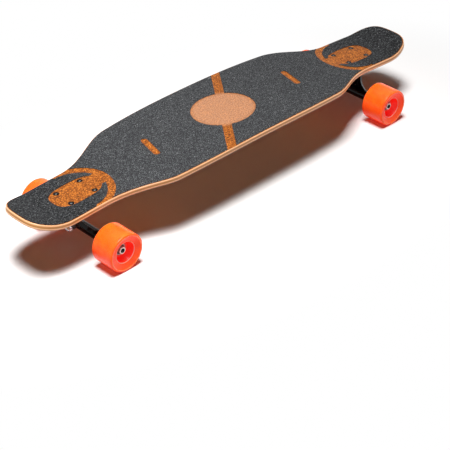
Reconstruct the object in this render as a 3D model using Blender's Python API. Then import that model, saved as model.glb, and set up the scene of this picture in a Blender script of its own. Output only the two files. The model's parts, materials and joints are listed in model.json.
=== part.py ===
"""A cambered longboard on reverse-kingpin trucks, as separate named pieces.

The board runs along X with its nose at -X, Y is its width and Z is up. The origin is on the
floor under the middle of the deck. Every size is in metres and every angle in degrees.

A truck is drawn in its own frame: u points outboard along the deck, v across it and n up,
square to the deck, with the origin at the middle of the four bolts on the deck's underside.
A hanger is drawn in its steering frame: Z is the steering axis, X is the kingpin's axis and
the origin is the pivot. A wheel is drawn about Z, which points out along its axle.
"""
import math

import bmesh
import bpy
from mathutils import Matrix, Vector

# Clearance between pieces that touch, and between a pin and its hole
GAP = 0.0003

# How far a cutter runs past what it cuts, in shallow and in deep holes
CUT_PAST = 0.001
CUT_FAR_PAST = 0.080

# Deck
DECK_LENGTH = 0.985
DECK_WIDTH = 0.2244
NECK_WIDTH = 0.1270
DECK_THICKNESS = 0.0102
DECK_EDGE_ROUND = 0.0026
BELLY_TAPER = 0.0067
BELLY_TAPER_AT = 0.220
BELLY_TAPER_POWER = 3.14
TRUCK_FROM_TIP = 0.1285
SHOULDER_FROM_TRUCK = 0.1544
SHOULDER_LENGTH = 0.1404
TIP_ROUND_LENGTH = 0.0995
TIP_SQUARENESS = 3.20
CAMBER_RISE = 0.0201
CAMBER_RADIUS = 3.89
PLATFORM_TILT = 3.0
PLATFORM_INBOARD = 0.024
PLATFORM_OUTBOARD = 0.058
PLATFORM_BLEND = 0.100
TIP_KICK = 0.0112
TIP_KICK_ANGLE = 15.6

# Grip sheets on the deck
GRIP_THICKNESS = 0.0010
GRIP_EDGE_MARGIN = 0.0028
RING_INNER_RADIUS = 0.057
RING_WIDTH = 0.014
WINDOW_LENGTH = 0.100
WINDOW_WIDTH = 0.060
WINDOW_SQUARENESS = 3.0
WINDOW_NECK_WIDTH = 0.036
BAND_WIDTH = 0.018
BAND_ANGLE = 52.0
OVAL_LENGTH = 0.134
OVAL_WIDTH = 0.112
SLOT_LENGTH = 0.060
SLOT_WIDTH = 0.013
SLOT_ANGLE = 76.0
SLOT_FROM_MIDDLE = 0.186

# Deck bolts and their nuts
BOLT_SPACING_ALONG = 0.0540
BOLT_SPACING_ACROSS = 0.0413
BOLT_RADIUS = 0.0025
BOLT_LENGTH = 0.0235
BOLT_HEAD_RADIUS = 0.0053
BOLT_HEAD_RIM = 0.0002
BOLT_HEAD_SUNK = 0.0004
BOLT_SOCKET_RADIUS = 0.0026
BOLT_SOCKET_DEPTH = 0.0018
LOCKNUT_ACROSS_FLATS = 0.0080
LOCKNUT_HEIGHT = 0.0050

# Truck: where its axle and pivot lie
AXLE_DROP = 0.0617
AXLE_OFFSET = -0.0021
STEERING_ANGLE = 52.5
PIVOT_TO_AXLE = 0.0635
PIVOT_TO_KINGPIN = 0.0435

# Baseplate
BASE_THICKNESS = 0.0060
BASE_WIDTH = 0.0570
BASE_INBOARD = 0.0360
BASE_OUTBOARD = 0.0640
BASE_NOSE_LENGTH = 0.0260
BASE_CORNER = 0.0060
TOWER_WIDTH = 0.0280
TOWER_DEPTH = 0.0255
TOWER_HALF_FACE = 0.0125
TOWER_SHOULDER = 0.0115
PIVOT_BLOCK_WIDTH = 0.0240
PIVOT_BLOCK_FACE = 0.0130
PIVOT_BLOCK_DEPTH = 0.0050
BASE_BEVEL = 0.0015

# Pivot cup and the hanger's nose in it
CUP_RADIUS = 0.0080
CUP_DEPTH = 0.0080
CUP_FLOOR = 0.0018
CUP_WALL = 0.0014
NOSE_CHAMFER = 0.0025
NOSE_ROOT = 0.0020

# Hanger
HANGER_LENGTH = 0.1684
HANGER_TUBE_RADIUS = 0.0098
HANGER_END_RADIUS = 0.0076
HANGER_TAPER_LENGTH = 0.0120
HANGER_PLATE_THICKNESS = 0.0090
HANGER_BLOCK_CLEARANCE = 0.0030
HANGER_NECK_WIDTH = 0.0290
HANGER_SPREAD = 0.0120
HANGER_SEAT_WALL = 0.0024
HANGER_SEAT_DEPTH = 0.0018
HANGER_RING_BORE = 0.0070
HANGER_FLARE_WIDTH = 0.1282
HANGER_FLARE_POWER = 4.5
HANGER_FLARE_FROM_AXLE = 0.0040
HANGER_WINDOW_LENGTH = 0.0120
HANGER_WINDOW_WIDTH = 0.0200
HANGER_WINDOW_TIP_WIDTH = 0.0080
HANGER_WINDOW_FROM_PIVOT = 0.0130

# Kingpin, bushings, washer and nut
KINGPIN_RADIUS = 0.00475
KINGPIN_HEAD_RADIUS = 0.0078
KINGPIN_HEAD_HEIGHT = 0.0050
KINGPIN_TIP = 0.0012
THREAD_CHAMFER = 0.0009
BOARDSIDE_BUSHING_RADIUS = 0.0119
BOARDSIDE_BUSHING_HEIGHT = 0.0130
BUSHING_BULGE = 0.0006
ROADSIDE_BUSHING_RADIUS = 0.0118
ROADSIDE_BUSHING_TOP_RADIUS = 0.0100
ROADSIDE_BUSHING_HEIGHT = 0.0080
CUP_WASHER_RADIUS = 0.0135
CUP_WASHER_THICKNESS = 0.0020
KINGPIN_NUT_ACROSS_FLATS = 0.0143
KINGPIN_NUT_HEIGHT = 0.0066
KINGPIN_NUT_WASHER_RADIUS = 0.0110
KINGPIN_NUT_WASHER_THICKNESS = 0.0018

# Wheels
WHEEL_RADIUS = 0.0375
WHEEL_OUTER_REACH = 0.0297
WHEEL_INNER_REACH = 0.0223
WHEEL_LIP_INSET = 0.0038
WHEEL_LIP_WIDTH = 0.0026
WHEEL_FACE_DISH = 0.0047
WHEEL_OUTER_MOUTH_RADIUS = 0.0205
WHEEL_INNER_MOUTH_RADIUS = 0.0235
CORE_RADIUS = 0.0150
CORE_WEB_RADIUS = 0.0085
BEARING_RADIUS = 0.0110
BEARING_WIDTH = 0.0070
BEARING_SPREAD = 0.0100
BEARING_CHAMFER = 0.0004
AXLE_RADIUS = 0.0040
AXLE_TIP = 0.0012
AXLE_NUT_ACROSS_FLATS = 0.0127
AXLE_NUT_HEIGHT = 0.0060

# How finely curves are drawn
DECK_STEP = 0.018
TIP_STEPS = 8
GRIP_ARC_STEPS = 8
WINDOW_SEGMENTS = 28
RING_SEGMENTS = 48
OVAL_SEGMENTS = 40
SLOT_SEGMENTS = 5
FLARE_STEPS = 8
WHEEL_SEGMENTS = 32
FINE_ROUND_SEGMENTS = 24
ROUND_SEGMENTS = 20
AXLE_SEGMENTS = 16
BOLT_SEGMENTS = 12

# Positions that follow from the sizes above
TILT = math.radians(PLATFORM_TILT)
STEER = math.radians(STEERING_ANGLE)
HALF_LENGTH = DECK_LENGTH / 2
PATTERN_X = HALF_LENGTH - TRUCK_FROM_TIP
SHOULDER_START = PATTERN_X - SHOULDER_FROM_TRUCK
CAMBER_END = PATTERN_X - PLATFORM_INBOARD - PLATFORM_BLEND
KINGPIN_AXIS = Vector((math.sin(STEER), 0.0, -math.cos(STEER)))
STEERING_AXIS = Vector((math.cos(STEER), 0.0, math.sin(STEER)))
AXLE_POINT = Vector((AXLE_OFFSET, 0.0, -AXLE_DROP))
PIVOT_POINT = AXLE_POINT + STEERING_AXIS * PIVOT_TO_AXLE
AXLE_HEIGHT = WHEEL_RADIUS * math.cos(math.pi / WHEEL_SEGMENTS)
UNDERSIDE_Z = AXLE_HEIGHT + AXLE_OFFSET * math.sin(TILT) + AXLE_DROP * math.cos(TILT)
TOP_Z = UNDERSIDE_Z + DECK_THICKNESS * math.cos(TILT)
BASE_FACE = -GAP - BASE_THICKNESS
PLATE_HALF = HANGER_PLATE_THICKNESS / 2
SEAT_RIM = PLATE_HALF + HANGER_SEAT_DEPTH
SEAT_RADIUS = max(BOARDSIDE_BUSHING_RADIUS, ROADSIDE_BUSHING_RADIUS) + BUSHING_BULGE + GAP
WASHER_FACE = PLATE_HALF + GAP + BOARDSIDE_BUSHING_HEIGHT + GAP
TOWER_FACE = WASHER_FACE + CUP_WASHER_THICKNESS + GAP
NUT_FACE = PLATE_HALF + GAP + ROADSIDE_BUSHING_HEIGHT + GAP
NUT_TOP = NUT_FACE + KINGPIN_NUT_WASHER_THICKNESS + KINGPIN_NUT_HEIGHT
NOSE_RADIUS = CUP_RADIUS - CUP_WALL - GAP
CUP_INNER_END = CUP_DEPTH - PIVOT_BLOCK_DEPTH
BEARING_INNER_FACE = BEARING_SPREAD / 2
BEARING_OUTER_FACE = BEARING_INNER_FACE + BEARING_WIDTH
HUB_OFFSET = HANGER_LENGTH / 2 + GAP + BEARING_OUTER_FACE
AXLE_HALF = HUB_OFFSET + BEARING_OUTER_FACE + GAP + AXLE_NUT_HEIGHT + AXLE_TIP

MATERIALS = {
    "grip": ((0.065, 0.065, 0.070), 0.95, 0.0),
    "maple_and_cork": ((0.62, 0.36, 0.14), 0.55, 0.0),
    "black_metal": ((0.012, 0.012, 0.014), 0.25, 0.0),
    "black_steel": ((0.05, 0.05, 0.055), 0.35, 1.0),
    "steel": ((0.62, 0.62, 0.64), 0.25, 1.0),
    "black_urethane": ((0.02, 0.02, 0.02), 0.5, 0.0),
    "orange_urethane": ((0.95, 0.16, 0.02), 0.35, 0.0),
    "orange_core": ((0.85, 0.08, 0.02), 0.4, 0.0),
}


def clear_scene():
    """Removes whatever the file was opened with."""
    for item in list(bpy.data.objects):
        bpy.data.objects.remove(item, do_unlink=True)


def material(name):
    """Returns the named material, made on first use."""
    found = bpy.data.materials.get(name)
    if found:
        return found
    colour, roughness, metallic = MATERIALS[name]
    made = bpy.data.materials.new(name)
    made.use_nodes = True
    shader = made.node_tree.nodes["Principled BSDF"]
    shader.inputs["Base Color"].default_value = (*colour, 1.0)
    shader.inputs["Roughness"].default_value = roughness
    shader.inputs["Metallic"].default_value = metallic
    made.diffuse_color = (*colour, 1.0)
    return made


def finish_mesh(bm, name, finish):
    """Turns a bmesh into a linked object with outward faces and smooth round sides."""
    bmesh.ops.recalc_face_normals(bm, faces=bm.faces)
    mesh = bpy.data.meshes.new(name)
    bm.to_mesh(mesh)
    bm.free()
    made = bpy.data.objects.new(name, mesh)
    bpy.context.scene.collection.objects.link(made)
    mesh.materials.append(material(finish))
    smooth(made)
    return made


def smooth(item):
    """Shades a piece smooth except across its sharp edges."""
    item.data.shade_smooth()
    item.data.set_sharp_from_angle(angle=math.radians(35))


def turned(name, finish, profile, segments, closed=False):
    """Spins a profile of (radius, height) points about Z. A closed profile makes a ring."""
    bm = bmesh.new()
    verts = [bm.verts.new((radius, 0.0, height)) for radius, height in profile]
    edges = [bm.edges.new(pair) for pair in zip(verts, verts[1:])]
    if closed:
        edges.append(bm.edges.new((verts[-1], verts[0])))
    bmesh.ops.spin(
        bm, geom=verts + edges, cent=(0, 0, 0), axis=(0, 0, 1),
        angle=math.tau, steps=segments, use_merge=True,
    )
    bmesh.ops.remove_doubles(bm, verts=bm.verts, dist=1e-6)
    return finish_mesh(bm, name, finish)


def prism(name, finish, outline, low, high, bevel=0.0):
    """Extrudes a flat outline of (x, y) points from one height to another."""
    bm = bmesh.new()
    face = bm.faces.new([bm.verts.new((x, y, low)) for x, y in outline])
    raised = bmesh.ops.extrude_face_region(bm, geom=[face])["geom"]
    corners = [item for item in raised if isinstance(item, bmesh.types.BMVert)]
    bmesh.ops.translate(bm, verts=corners, vec=(0, 0, high - low))
    if bevel:
        bmesh.ops.bevel(
            bm, geom=list(bm.edges), offset=bevel, segments=2,
            profile=0.6, affect="EDGES", clamp_overlap=True,
        )
    return finish_mesh(bm, name, finish)


def regular(count, radius, turn=0.0):
    """Points evenly round a circle."""
    angles = [math.tau * index / count + turn for index in range(count)]
    return [(radius * math.cos(angle), radius * math.sin(angle)) for angle in angles]


def hexagon(across_flats):
    """A hexagon's corners from its width across flats."""
    return regular(6, across_flats / math.sqrt(3))


def drum(name, radius, low, high, segments=ROUND_SEGMENTS):
    """A plain cylinder about Z, used to build up and to cut other pieces."""
    return prism(name, "black_metal", regular(segments, radius, math.pi / segments), low, high)


def place(item, matrix):
    """Moves a piece's mesh into another frame, before it is combined with others."""
    item.data.transform(matrix)
    return item


def combine(target, other, operation):
    """Unites a piece with another, or cuts it, and removes the other."""
    step = target.modifiers.new(operation, "BOOLEAN")
    step.operation = operation
    step.solver = "EXACT"
    step.object = other
    other.hide_render = True
    other.display_type = "WIRE"
    graph = bpy.context.evaluated_depsgraph_get()
    result = bpy.data.meshes.new_from_object(target.evaluated_get(graph))
    target.modifiers.clear()
    target.data = result
    bpy.data.objects.remove(other, do_unlink=True)
    bm = bmesh.new()
    bm.from_mesh(result)
    bmesh.ops.remove_doubles(bm, verts=bm.verts, dist=2e-6)
    bmesh.ops.dissolve_degenerate(bm, edges=bm.edges, dist=2e-6)
    bm.to_mesh(result)
    bm.free()
    smooth(target)
    return target


def unite(target, *others):
    """Joins pieces into one body."""
    for other in others:
        combine(target, other, "UNION")
    return target


def cut(target, *others):
    """Takes other shapes out of a piece."""
    for other in others:
        combine(target, other, "DIFFERENCE")
    return target


def copy_of(item, name):
    """Another object with the same mesh."""
    made = bpy.data.objects.new(name, item.data)
    bpy.context.scene.collection.objects.link(made)
    return made


def hermite(start, end, start_slope, end_slope, x_start, x_end, x):
    """A smooth curve between two heights with the given slopes at its ends."""
    span = x_end - x_start
    t = (x - x_start) / span
    height = (2 * t**3 - 3 * t**2 + 1) * start + (3 * t**2 - 2 * t**3) * end
    return height + (t**3 - 2 * t**2 + t) * span * start_slope + (t**3 - t**2) * span * end_slope


def top_height(x):
    """Height of the deck's top along its middle: camber, flat truck platforms, kicked tips."""
    reach = abs(x)
    slope = -math.tan(TILT)
    inner = PATTERN_X - PLATFORM_INBOARD
    outer = PATTERN_X + PLATFORM_OUTBOARD
    if reach < CAMBER_END:
        return TOP_Z + CAMBER_RISE - reach**2 / (2 * CAMBER_RADIUS)
    if reach < inner:
        start = TOP_Z + CAMBER_RISE - CAMBER_END**2 / (2 * CAMBER_RADIUS)
        edge = TOP_Z + slope * (inner - PATTERN_X)
        return hermite(start, edge, -CAMBER_END / CAMBER_RADIUS, slope, CAMBER_END, inner, reach)
    if reach <= outer:
        return TOP_Z + slope * (reach - PATTERN_X)
    edge = TOP_Z + slope * (outer - PATTERN_X)
    kick = math.tan(math.radians(TIP_KICK_ANGLE))
    return hermite(edge, TOP_Z + TIP_KICK, slope, kick, outer, HALF_LENGTH, reach)


def bend(item):
    """Bends a flat piece onto the deck: its x runs along the top and its z is height above it."""
    probe = 1e-4
    for vert in item.data.vertices:
        x, y, height = vert.co
        rise = (top_height(x + probe) - top_height(x - probe)) / (2 * probe)
        length = math.hypot(1.0, rise)
        vert.co = (x - height * rise / length, y, top_height(x) + height / length)
    item.data.update()
    smooth(item)
    return item


def half_width(x):
    """Half the deck's width: a long belly, shoulders down to the necks, rounded tips."""
    reach = abs(x)
    neck = NECK_WIDTH / 2
    belly = DECK_WIDTH / 2 - BELLY_TAPER * (reach / BELLY_TAPER_AT) ** BELLY_TAPER_POWER
    t = min(max((reach - SHOULDER_START) / SHOULDER_LENGTH, 0.0), 1.0)
    width = neck + (belly - neck) * (1.0 - t * t * (3.0 - 2.0 * t))
    cap = (reach - HALF_LENGTH + TIP_ROUND_LENGTH) / TIP_ROUND_LENGTH
    if cap > 0.0:
        width *= max(1.0 - cap**TIP_SQUARENESS, 0.0) ** (1.0 / TIP_SQUARENESS)
    return width


def deck_side():
    """The deck's edge on its +Y side, as points from the nose to the tail, closest at the tips."""
    straight = HALF_LENGTH - TIP_ROUND_LENGTH
    count = round(2 * straight / DECK_STEP)
    middle = [-straight + 2 * straight * index / count for index in range(count + 1)]
    turns = [math.pi / 2 * (index + 1) / TIP_STEPS for index in range(TIP_STEPS)]
    tail = [straight + TIP_ROUND_LENGTH * math.sin(turn) for turn in turns]
    nose = [-x for x in reversed(tail)]
    return [(x, half_width(x)) for x in nose + middle + tail]


def inset(points, distance):
    """Moves a +Y side line towards the middle, square to itself, keeping its ends on Y = 0."""
    moved = []
    for index, point in enumerate(points):
        before = points[index - 1] if index else (point[0], -points[1][1])
        after = points[index + 1] if index + 1 < len(points) else (point[0], -points[-2][1])
        along = Vector((after[0] - before[0], after[1] - before[1])).normalized()
        x = point[0] + along.y * distance
        y = point[1] - along.x * distance
        moved.append((x, max(y, 0.0) if 0 < index < len(points) - 1 else 0.0))
    return moved


def slab(name, finish, rings):
    """Builds a symmetric plate from (side points, height) rings, listed from top to bottom."""
    bm = bmesh.new()
    loops = []
    for side, height in rings:
        upper = [bm.verts.new((x, y, height)) for x, y in side]
        closes = [abs(point[1]) < 1e-9 for point in side]
        lower = [
            vert if on_middle else bm.verts.new((vert.co.x, -vert.co.y, height))
            for vert, on_middle in zip(upper, closes)
        ]
        loops.append((upper, lower))
    for upper, lower in (loops[0], loops[-1]):
        for a, b, c, d in zip(upper, upper[1:], lower[1:], lower):
            bm.faces.new(list(dict.fromkeys((a, b, c, d))))
    for (high_up, high_low), (low_up, low_low) in zip(loops, loops[1:]):
        for high, low in ((high_up, low_up), (high_low, low_low)):
            for a, b, c, d in zip(high, high[1:], low[1:], low):
                bm.faces.new((a, b, c, d))
        for end in (0, -1):
            if high_up[end] is not high_low[end]:
                bm.faces.new((high_up[end], high_low[end], low_low[end], low_up[end]))
    return finish_mesh(bm, name, finish)


def bolt_places():
    """The four bolts of a truck, in its own frame."""
    along = BOLT_SPACING_ALONG / 2
    across = BOLT_SPACING_ACROSS / 2
    return [(along, across), (along, -across), (-along, across), (-along, -across)]


def make_deck():
    """The laminated deck with its countersunk bolt holes."""
    side = deck_side()
    edge = DECK_EDGE_ROUND
    soft = edge * (1.0 - math.sqrt(0.5))
    rings = [
        (inset(side, edge), 0.0),
        (inset(side, soft), -soft),
        (side, -edge),
        (side, edge - DECK_THICKNESS),
        (inset(side, soft), soft - DECK_THICKNESS),
        (inset(side, edge), -DECK_THICKNESS),
    ]
    deck = slab("deck", "maple_and_cork", rings)
    hole = BOLT_RADIUS + GAP
    mouth = BOLT_HEAD_RADIUS + BOLT_HEAD_SUNK + BOLT_HEAD_RIM + GAP * math.sqrt(2)
    profile = [
        (0.0, CUT_PAST),
        (mouth + CUT_PAST, CUT_PAST),
        (hole, hole - mouth),
        (hole, -DECK_THICKNESS - CUT_PAST),
        (0.0, -DECK_THICKNESS - CUT_PAST),
    ]
    for end in (-1, 1):
        for along, across in bolt_places():
            cutter = turned("cutter", "steel", profile, BOLT_SEGMENTS)
            x = end * PATTERN_X + along * math.cos(TILT)
            cut(deck, place(cutter, Matrix.Translation((x, across, 0.0))))
    return bend(deck)


def stadium(length, width, segments):
    """Points of a slot with round ends, along X."""
    radius = width / 2
    reach = length / 2 - radius
    points = []
    for side in (1, -1):
        for index in range(segments + 1):
            angle = -math.pi / 2 + math.pi * index / segments
            points.append((side * (reach + radius * math.cos(angle)), side * radius * math.sin(angle)))
    return points


def through_grip(name, outline, x, turn=0.0):
    """A cutter that passes through a grip sheet at the given place."""
    cutter = prism(name, "grip", outline, -GRIP_THICKNESS, 3 * GRIP_THICKNESS)
    return place(cutter, Matrix.Translation((x, 0.0, 0.0)) @ Matrix.Rotation(turn, 4, "Z"))


def ellipse(length, width, squareness, segments):
    """Points round an ellipse along X, squarer for a squareness above 2."""
    points = []
    for index in range(segments):
        angle = math.tau * index / segments
        x = math.copysign(abs(math.cos(angle)) ** (2 / squareness), math.cos(angle))
        y = math.copysign(abs(math.sin(angle)) ** (2 / squareness), math.sin(angle))
        points.append((length / 2 * x, width / 2 * y))
    return points


def rectangle(x_low, x_high, y_low, y_high):
    """The corners of a rectangle."""
    return [(x_low, y_low), (x_high, y_low), (x_high, y_high), (x_low, y_high)]


def grip_sheet(name, side):
    """A flat sheet of grip between its side points."""
    return slab(name, "grip", [(side, GAP + GRIP_THICKNESS), (side, GAP)])


def lay_grip(sheet, end):
    """Turns a nose sheet to its own end of the board and bends it onto the deck."""
    if end > 0:
        place(sheet, Matrix.Rotation(math.pi, 4, "Z"))
    return bend(sheet)


def make_end_grip(name, end):
    """The sheet over one tip, with its round end and the window over the truck's bolts."""
    widest = min((NECK_WIDTH / 2 - GRIP_EDGE_MARGIN) / RING_INNER_RADIUS, 1.0)
    arc = []
    for index in range(GRIP_ARC_STEPS + 1):
        turn = math.asin(widest) * (1.0 - index / GRIP_ARC_STEPS)
        arc.append((RING_INNER_RADIUS * math.cos(turn) - PATTERN_X, RING_INNER_RADIUS * math.sin(turn)))
    last = arc[0][0] - DECK_STEP / 4
    side = [point for point in inset(deck_side(), GRIP_EDGE_MARGIN) if point[0] < last]
    sheet = grip_sheet(name, side + arc)
    window = ellipse(WINDOW_LENGTH, WINDOW_WIDTH, WINDOW_SQUARENESS, WINDOW_SEGMENTS)
    neck = WINDOW_NECK_WIDTH / 2
    gate = rectangle(0.0, 2 * RING_INNER_RADIUS, -neck, neck)
    cut(sheet, through_grip("cutter", window, -PATTERN_X), through_grip("cutter", gate, -PATTERN_X))
    return lay_grip(sheet, end)


def make_middle_grip(name, end):
    """The sheet between one truck and the middle, with its slot and its diagonal end."""
    edge = inset(deck_side(), GRIP_EDGE_MARGIN)
    sheet = grip_sheet(name, [point for point in edge if -PATTERN_X < point[0] < DECK_WIDTH / 2])
    beyond = rectangle(-BAND_WIDTH / 2, DECK_LENGTH, -DECK_LENGTH, DECK_LENGTH)
    oval = ellipse(OVAL_LENGTH, OVAL_WIDTH, 2.0, OVAL_SEGMENTS)
    ring = regular(RING_SEGMENTS, RING_INNER_RADIUS + RING_WIDTH)
    slot = stadium(SLOT_LENGTH, SLOT_WIDTH, SLOT_SEGMENTS)
    cut(
        sheet,
        through_grip("cutter", beyond, 0.0, math.radians(BAND_ANGLE) - math.pi / 2),
        through_grip("cutter", oval, 0.0),
        through_grip("cutter", ring, -PATTERN_X),
        through_grip("cutter", slot, -SLOT_FROM_MIDDLE, math.radians(SLOT_ANGLE)),
    )
    return lay_grip(sheet, end)


def make_bolt(name):
    """A countersunk bolt in the truck's frame, with its socket."""
    top = DECK_THICKNESS - BOLT_HEAD_SUNK
    rim = top - BOLT_HEAD_RIM
    profile = [
        (0.0, top),
        (BOLT_HEAD_RADIUS, top),
        (BOLT_HEAD_RADIUS, rim),
        (BOLT_RADIUS, rim - BOLT_HEAD_RADIUS + BOLT_RADIUS),
        (BOLT_RADIUS, top - BOLT_LENGTH),
        (0.0, top - BOLT_LENGTH),
    ]
    bolt = turned(name, "black_steel", profile, BOLT_SEGMENTS)
    hexagonal = regular(6, BOLT_SOCKET_RADIUS)
    socket = prism("cutter", "steel", hexagonal, top - BOLT_SOCKET_DEPTH, top + CUT_PAST)
    return cut(bolt, socket)


def make_nut(name, finish, across_flats, height, bore):
    """A hexagon nut standing on Z = 0."""
    nut = prism(name, finish, hexagon(across_flats), 0.0, height)
    return cut(nut, drum("cutter", bore, -CUT_PAST, height + CUT_PAST, BOLT_SEGMENTS))


def steering_frame():
    """The steering frame, seen from the truck's frame."""
    across = Vector((0.0, 1.0, 0.0))
    columns = Matrix((KINGPIN_AXIS, across, STEERING_AXIS)).transposed()
    return Matrix.Translation(PIVOT_POINT) @ columns.to_4x4()


def kingpin_frame():
    """Z along the kingpin towards its nut, with the origin in the hanger's ring."""
    return Matrix.Translation((0.0, 0.0, -PIVOT_TO_KINGPIN)) @ Matrix.Rotation(math.pi / 2, 4, "Y")


def side_block(name, points, width):
    """Extrudes a side view of (u, n) points across the truck."""
    block = prism(name, "black_metal", points, -width / 2, width / 2, BASE_BEVEL)
    return place(block, Matrix.Rotation(math.pi / 2, 4, "X"))


def base_outline():
    """The baseplate from above: square inboard with small corners, rounded outboard."""
    half = BASE_WIDTH / 2
    corner = BASE_CORNER
    points = []
    for index in range(5):
        angle = math.pi / 2 + math.pi / 2 * index / 4
        x = corner - BASE_INBOARD + corner * math.cos(angle)
        points.append((x, half - corner + corner * math.sin(angle)))
    points += [(x, -y) for x, y in reversed(points)]
    start = BASE_OUTBOARD - BASE_NOSE_LENGTH
    for index in range(13):
        angle = -math.pi / 2 + math.pi * index / 12
        points.append((start + BASE_NOSE_LENGTH * math.cos(angle), half * math.sin(angle)))
    return points


def make_baseplate(name):
    """The cast baseplate: flange, pivot block with its socket, and the kingpin's tower."""
    frame = steering_frame()
    to_truck = frame @ kingpin_frame()
    base = prism(name, "black_metal", base_outline(), BASE_FACE, -GAP)
    root = -GAP - BASE_THICKNESS / 2
    face = -PIVOT_BLOCK_DEPTH
    upper = frame @ Vector((-PIVOT_BLOCK_FACE, 0.0, face))
    lower = frame @ Vector((PIVOT_BLOCK_FACE, 0.0, face))
    heel = frame @ Vector((PIVOT_BLOCK_FACE, 0.0, face + PIVOT_BLOCK_DEPTH))
    toe = BASE_OUTBOARD - BASE_NOSE_LENGTH / 3
    block = [(upper.x, root), (upper.x, upper.z), (lower.x, lower.z), (heel.x, heel.z), (toe, root)]
    seat_low = to_truck @ Vector((TOWER_HALF_FACE, 0.0, -TOWER_FACE))
    seat_high = to_truck @ Vector((-TOWER_HALF_FACE, 0.0, -TOWER_FACE))
    back_low = to_truck @ Vector((TOWER_HALF_FACE, 0.0, -TOWER_FACE - TOWER_SHOULDER))
    back_mid = to_truck @ Vector((KINGPIN_HEAD_RADIUS, 0.0, -TOWER_FACE - TOWER_DEPTH))
    back_high = to_truck @ Vector((-KINGPIN_HEAD_RADIUS, 0.0, -TOWER_FACE - TOWER_DEPTH))
    tower = [
        (seat_high.x + BASE_THICKNESS, root),
        (seat_high.x, seat_high.z),
        (seat_low.x, seat_low.z),
        (back_low.x, back_low.z),
        (back_mid.x, back_mid.z),
        (back_high.x, min(back_high.z, root)),
        (back_high.x, root),
    ]
    tower = list(dict.fromkeys(tower))
    unite(base, side_block("block", block, PIVOT_BLOCK_WIDTH), side_block("tower", tower, TOWER_WIDTH))
    cup_room = CUP_RADIUS + GAP
    socket = drum("cutter", cup_room, face - CUT_PAST, CUP_INNER_END + GAP, FINE_ROUND_SEGMENTS)
    back = -TOWER_FACE - TOWER_DEPTH
    pin = drum("cutter", KINGPIN_RADIUS + GAP, back - CUT_FAR_PAST, -TOWER_FACE + CUT_PAST)
    head = drum("cutter", KINGPIN_HEAD_RADIUS + GAP, back - CUT_FAR_PAST, back)
    cut(base, place(socket, frame), place(pin, to_truck), place(head, to_truck))
    for along, across in bolt_places():
        hole = drum("cutter", BOLT_RADIUS + GAP, BASE_FACE - CUT_PAST, CUT_PAST, BOLT_SEGMENTS)
        cut(base, place(hole, Matrix.Translation((along, across, 0.0))))
    return base


def hanger_outline():
    """Half of the hanger's plate, as (v, distance from the pivot) points down to the axle."""
    neck = HANGER_NECK_WIDTH / 2
    flare = HANGER_FLARE_WIDTH / 2 - neck - HANGER_SPREAD
    start = PIVOT_BLOCK_DEPTH + HANGER_BLOCK_CLEARANCE
    reach = PIVOT_TO_AXLE - HANGER_FLARE_FROM_AXLE - start
    points = []
    for index in range(FLARE_STEPS + 1):
        t = index / FLARE_STEPS
        half = neck + HANGER_SPREAD * t + flare * t**HANGER_FLARE_POWER
        points.append((half, start + reach * t))
    points.append((HANGER_FLARE_WIDTH / 2, PIVOT_TO_AXLE))
    return points


def make_hanger(name):
    """The cast hanger in its steering frame: nose, flared plate, bushing seats and axle tube."""
    half = hanger_outline()
    outline = [(v, -t) for v, t in half] + [(-v, -t) for v, t in reversed(half)]
    plate = prism(name, "black_metal", outline, -PLATE_HALF, PLATE_HALF)
    lay = Matrix(((0, 0, 1, 0), (1, 0, 0, 0), (0, 1, 0, 0), (0, 0, 0, 1)))
    place(plate, lay)
    end = HANGER_LENGTH / 2
    taper = end - HANGER_TAPER_LENGTH
    profile = [
        (0.0, end),
        (HANGER_END_RADIUS, end),
        (HANGER_END_RADIUS, end - HANGER_TAPER_LENGTH / 3),
        (HANGER_TUBE_RADIUS, taper),
        (HANGER_TUBE_RADIUS, -taper),
        (HANGER_END_RADIUS, HANGER_TAPER_LENGTH / 3 - end),
        (HANGER_END_RADIUS, -end),
        (0.0, -end),
    ]
    along_axle = Matrix.Translation((0.0, 0.0, -PIVOT_TO_AXLE)) @ Matrix.Rotation(math.pi / 2, 4, "X")
    tube = place(turned("tube", "black_metal", profile, FINE_ROUND_SEGMENTS), along_axle)
    pin_frame = kingpin_frame()
    collar = drum("collar", SEAT_RADIUS + HANGER_SEAT_WALL, -SEAT_RIM, SEAT_RIM, FINE_ROUND_SEGMENTS)
    tip = CUP_INNER_END - CUP_FLOOR - GAP
    root = NOSE_ROOT - HANGER_WINDOW_FROM_PIVOT
    nose_profile = [
        (0.0, tip),
        (NOSE_RADIUS - NOSE_CHAMFER, tip),
        (NOSE_RADIUS, tip - NOSE_CHAMFER),
        (NOSE_RADIUS, root),
        (0.0, root),
    ]
    nose = turned("nose", "black_metal", nose_profile, ROUND_SEGMENTS)
    unite(plate, tube, place(collar, pin_frame), nose)
    near = HANGER_WINDOW_FROM_PIVOT
    far = near + HANGER_WINDOW_LENGTH
    wide = HANGER_WINDOW_WIDTH / 2
    slim = HANGER_WINDOW_TIP_WIDTH / 2
    window = [(-wide, -far), (wide, -far), (slim, -near), (-slim, -near)]
    through = SEAT_RIM + CUT_PAST
    window_cutter = place(prism("cutter", "black_metal", window, -through, through), lay)
    pin_hole = place(drum("cutter", HANGER_RING_BORE, -through, through), pin_frame)
    bore_reach = end + CUT_PAST
    bore = drum("cutter", AXLE_RADIUS + GAP, -bore_reach, bore_reach, AXLE_SEGMENTS)
    cut(plate, window_cutter, pin_hole, place(bore, along_axle))
    for low, high in ((PLATE_HALF, through), (-through, -PLATE_HALF)):
        cut(plate, place(drum("cutter", SEAT_RADIUS, low, high, FINE_ROUND_SEGMENTS), pin_frame))
    return plate


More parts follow.
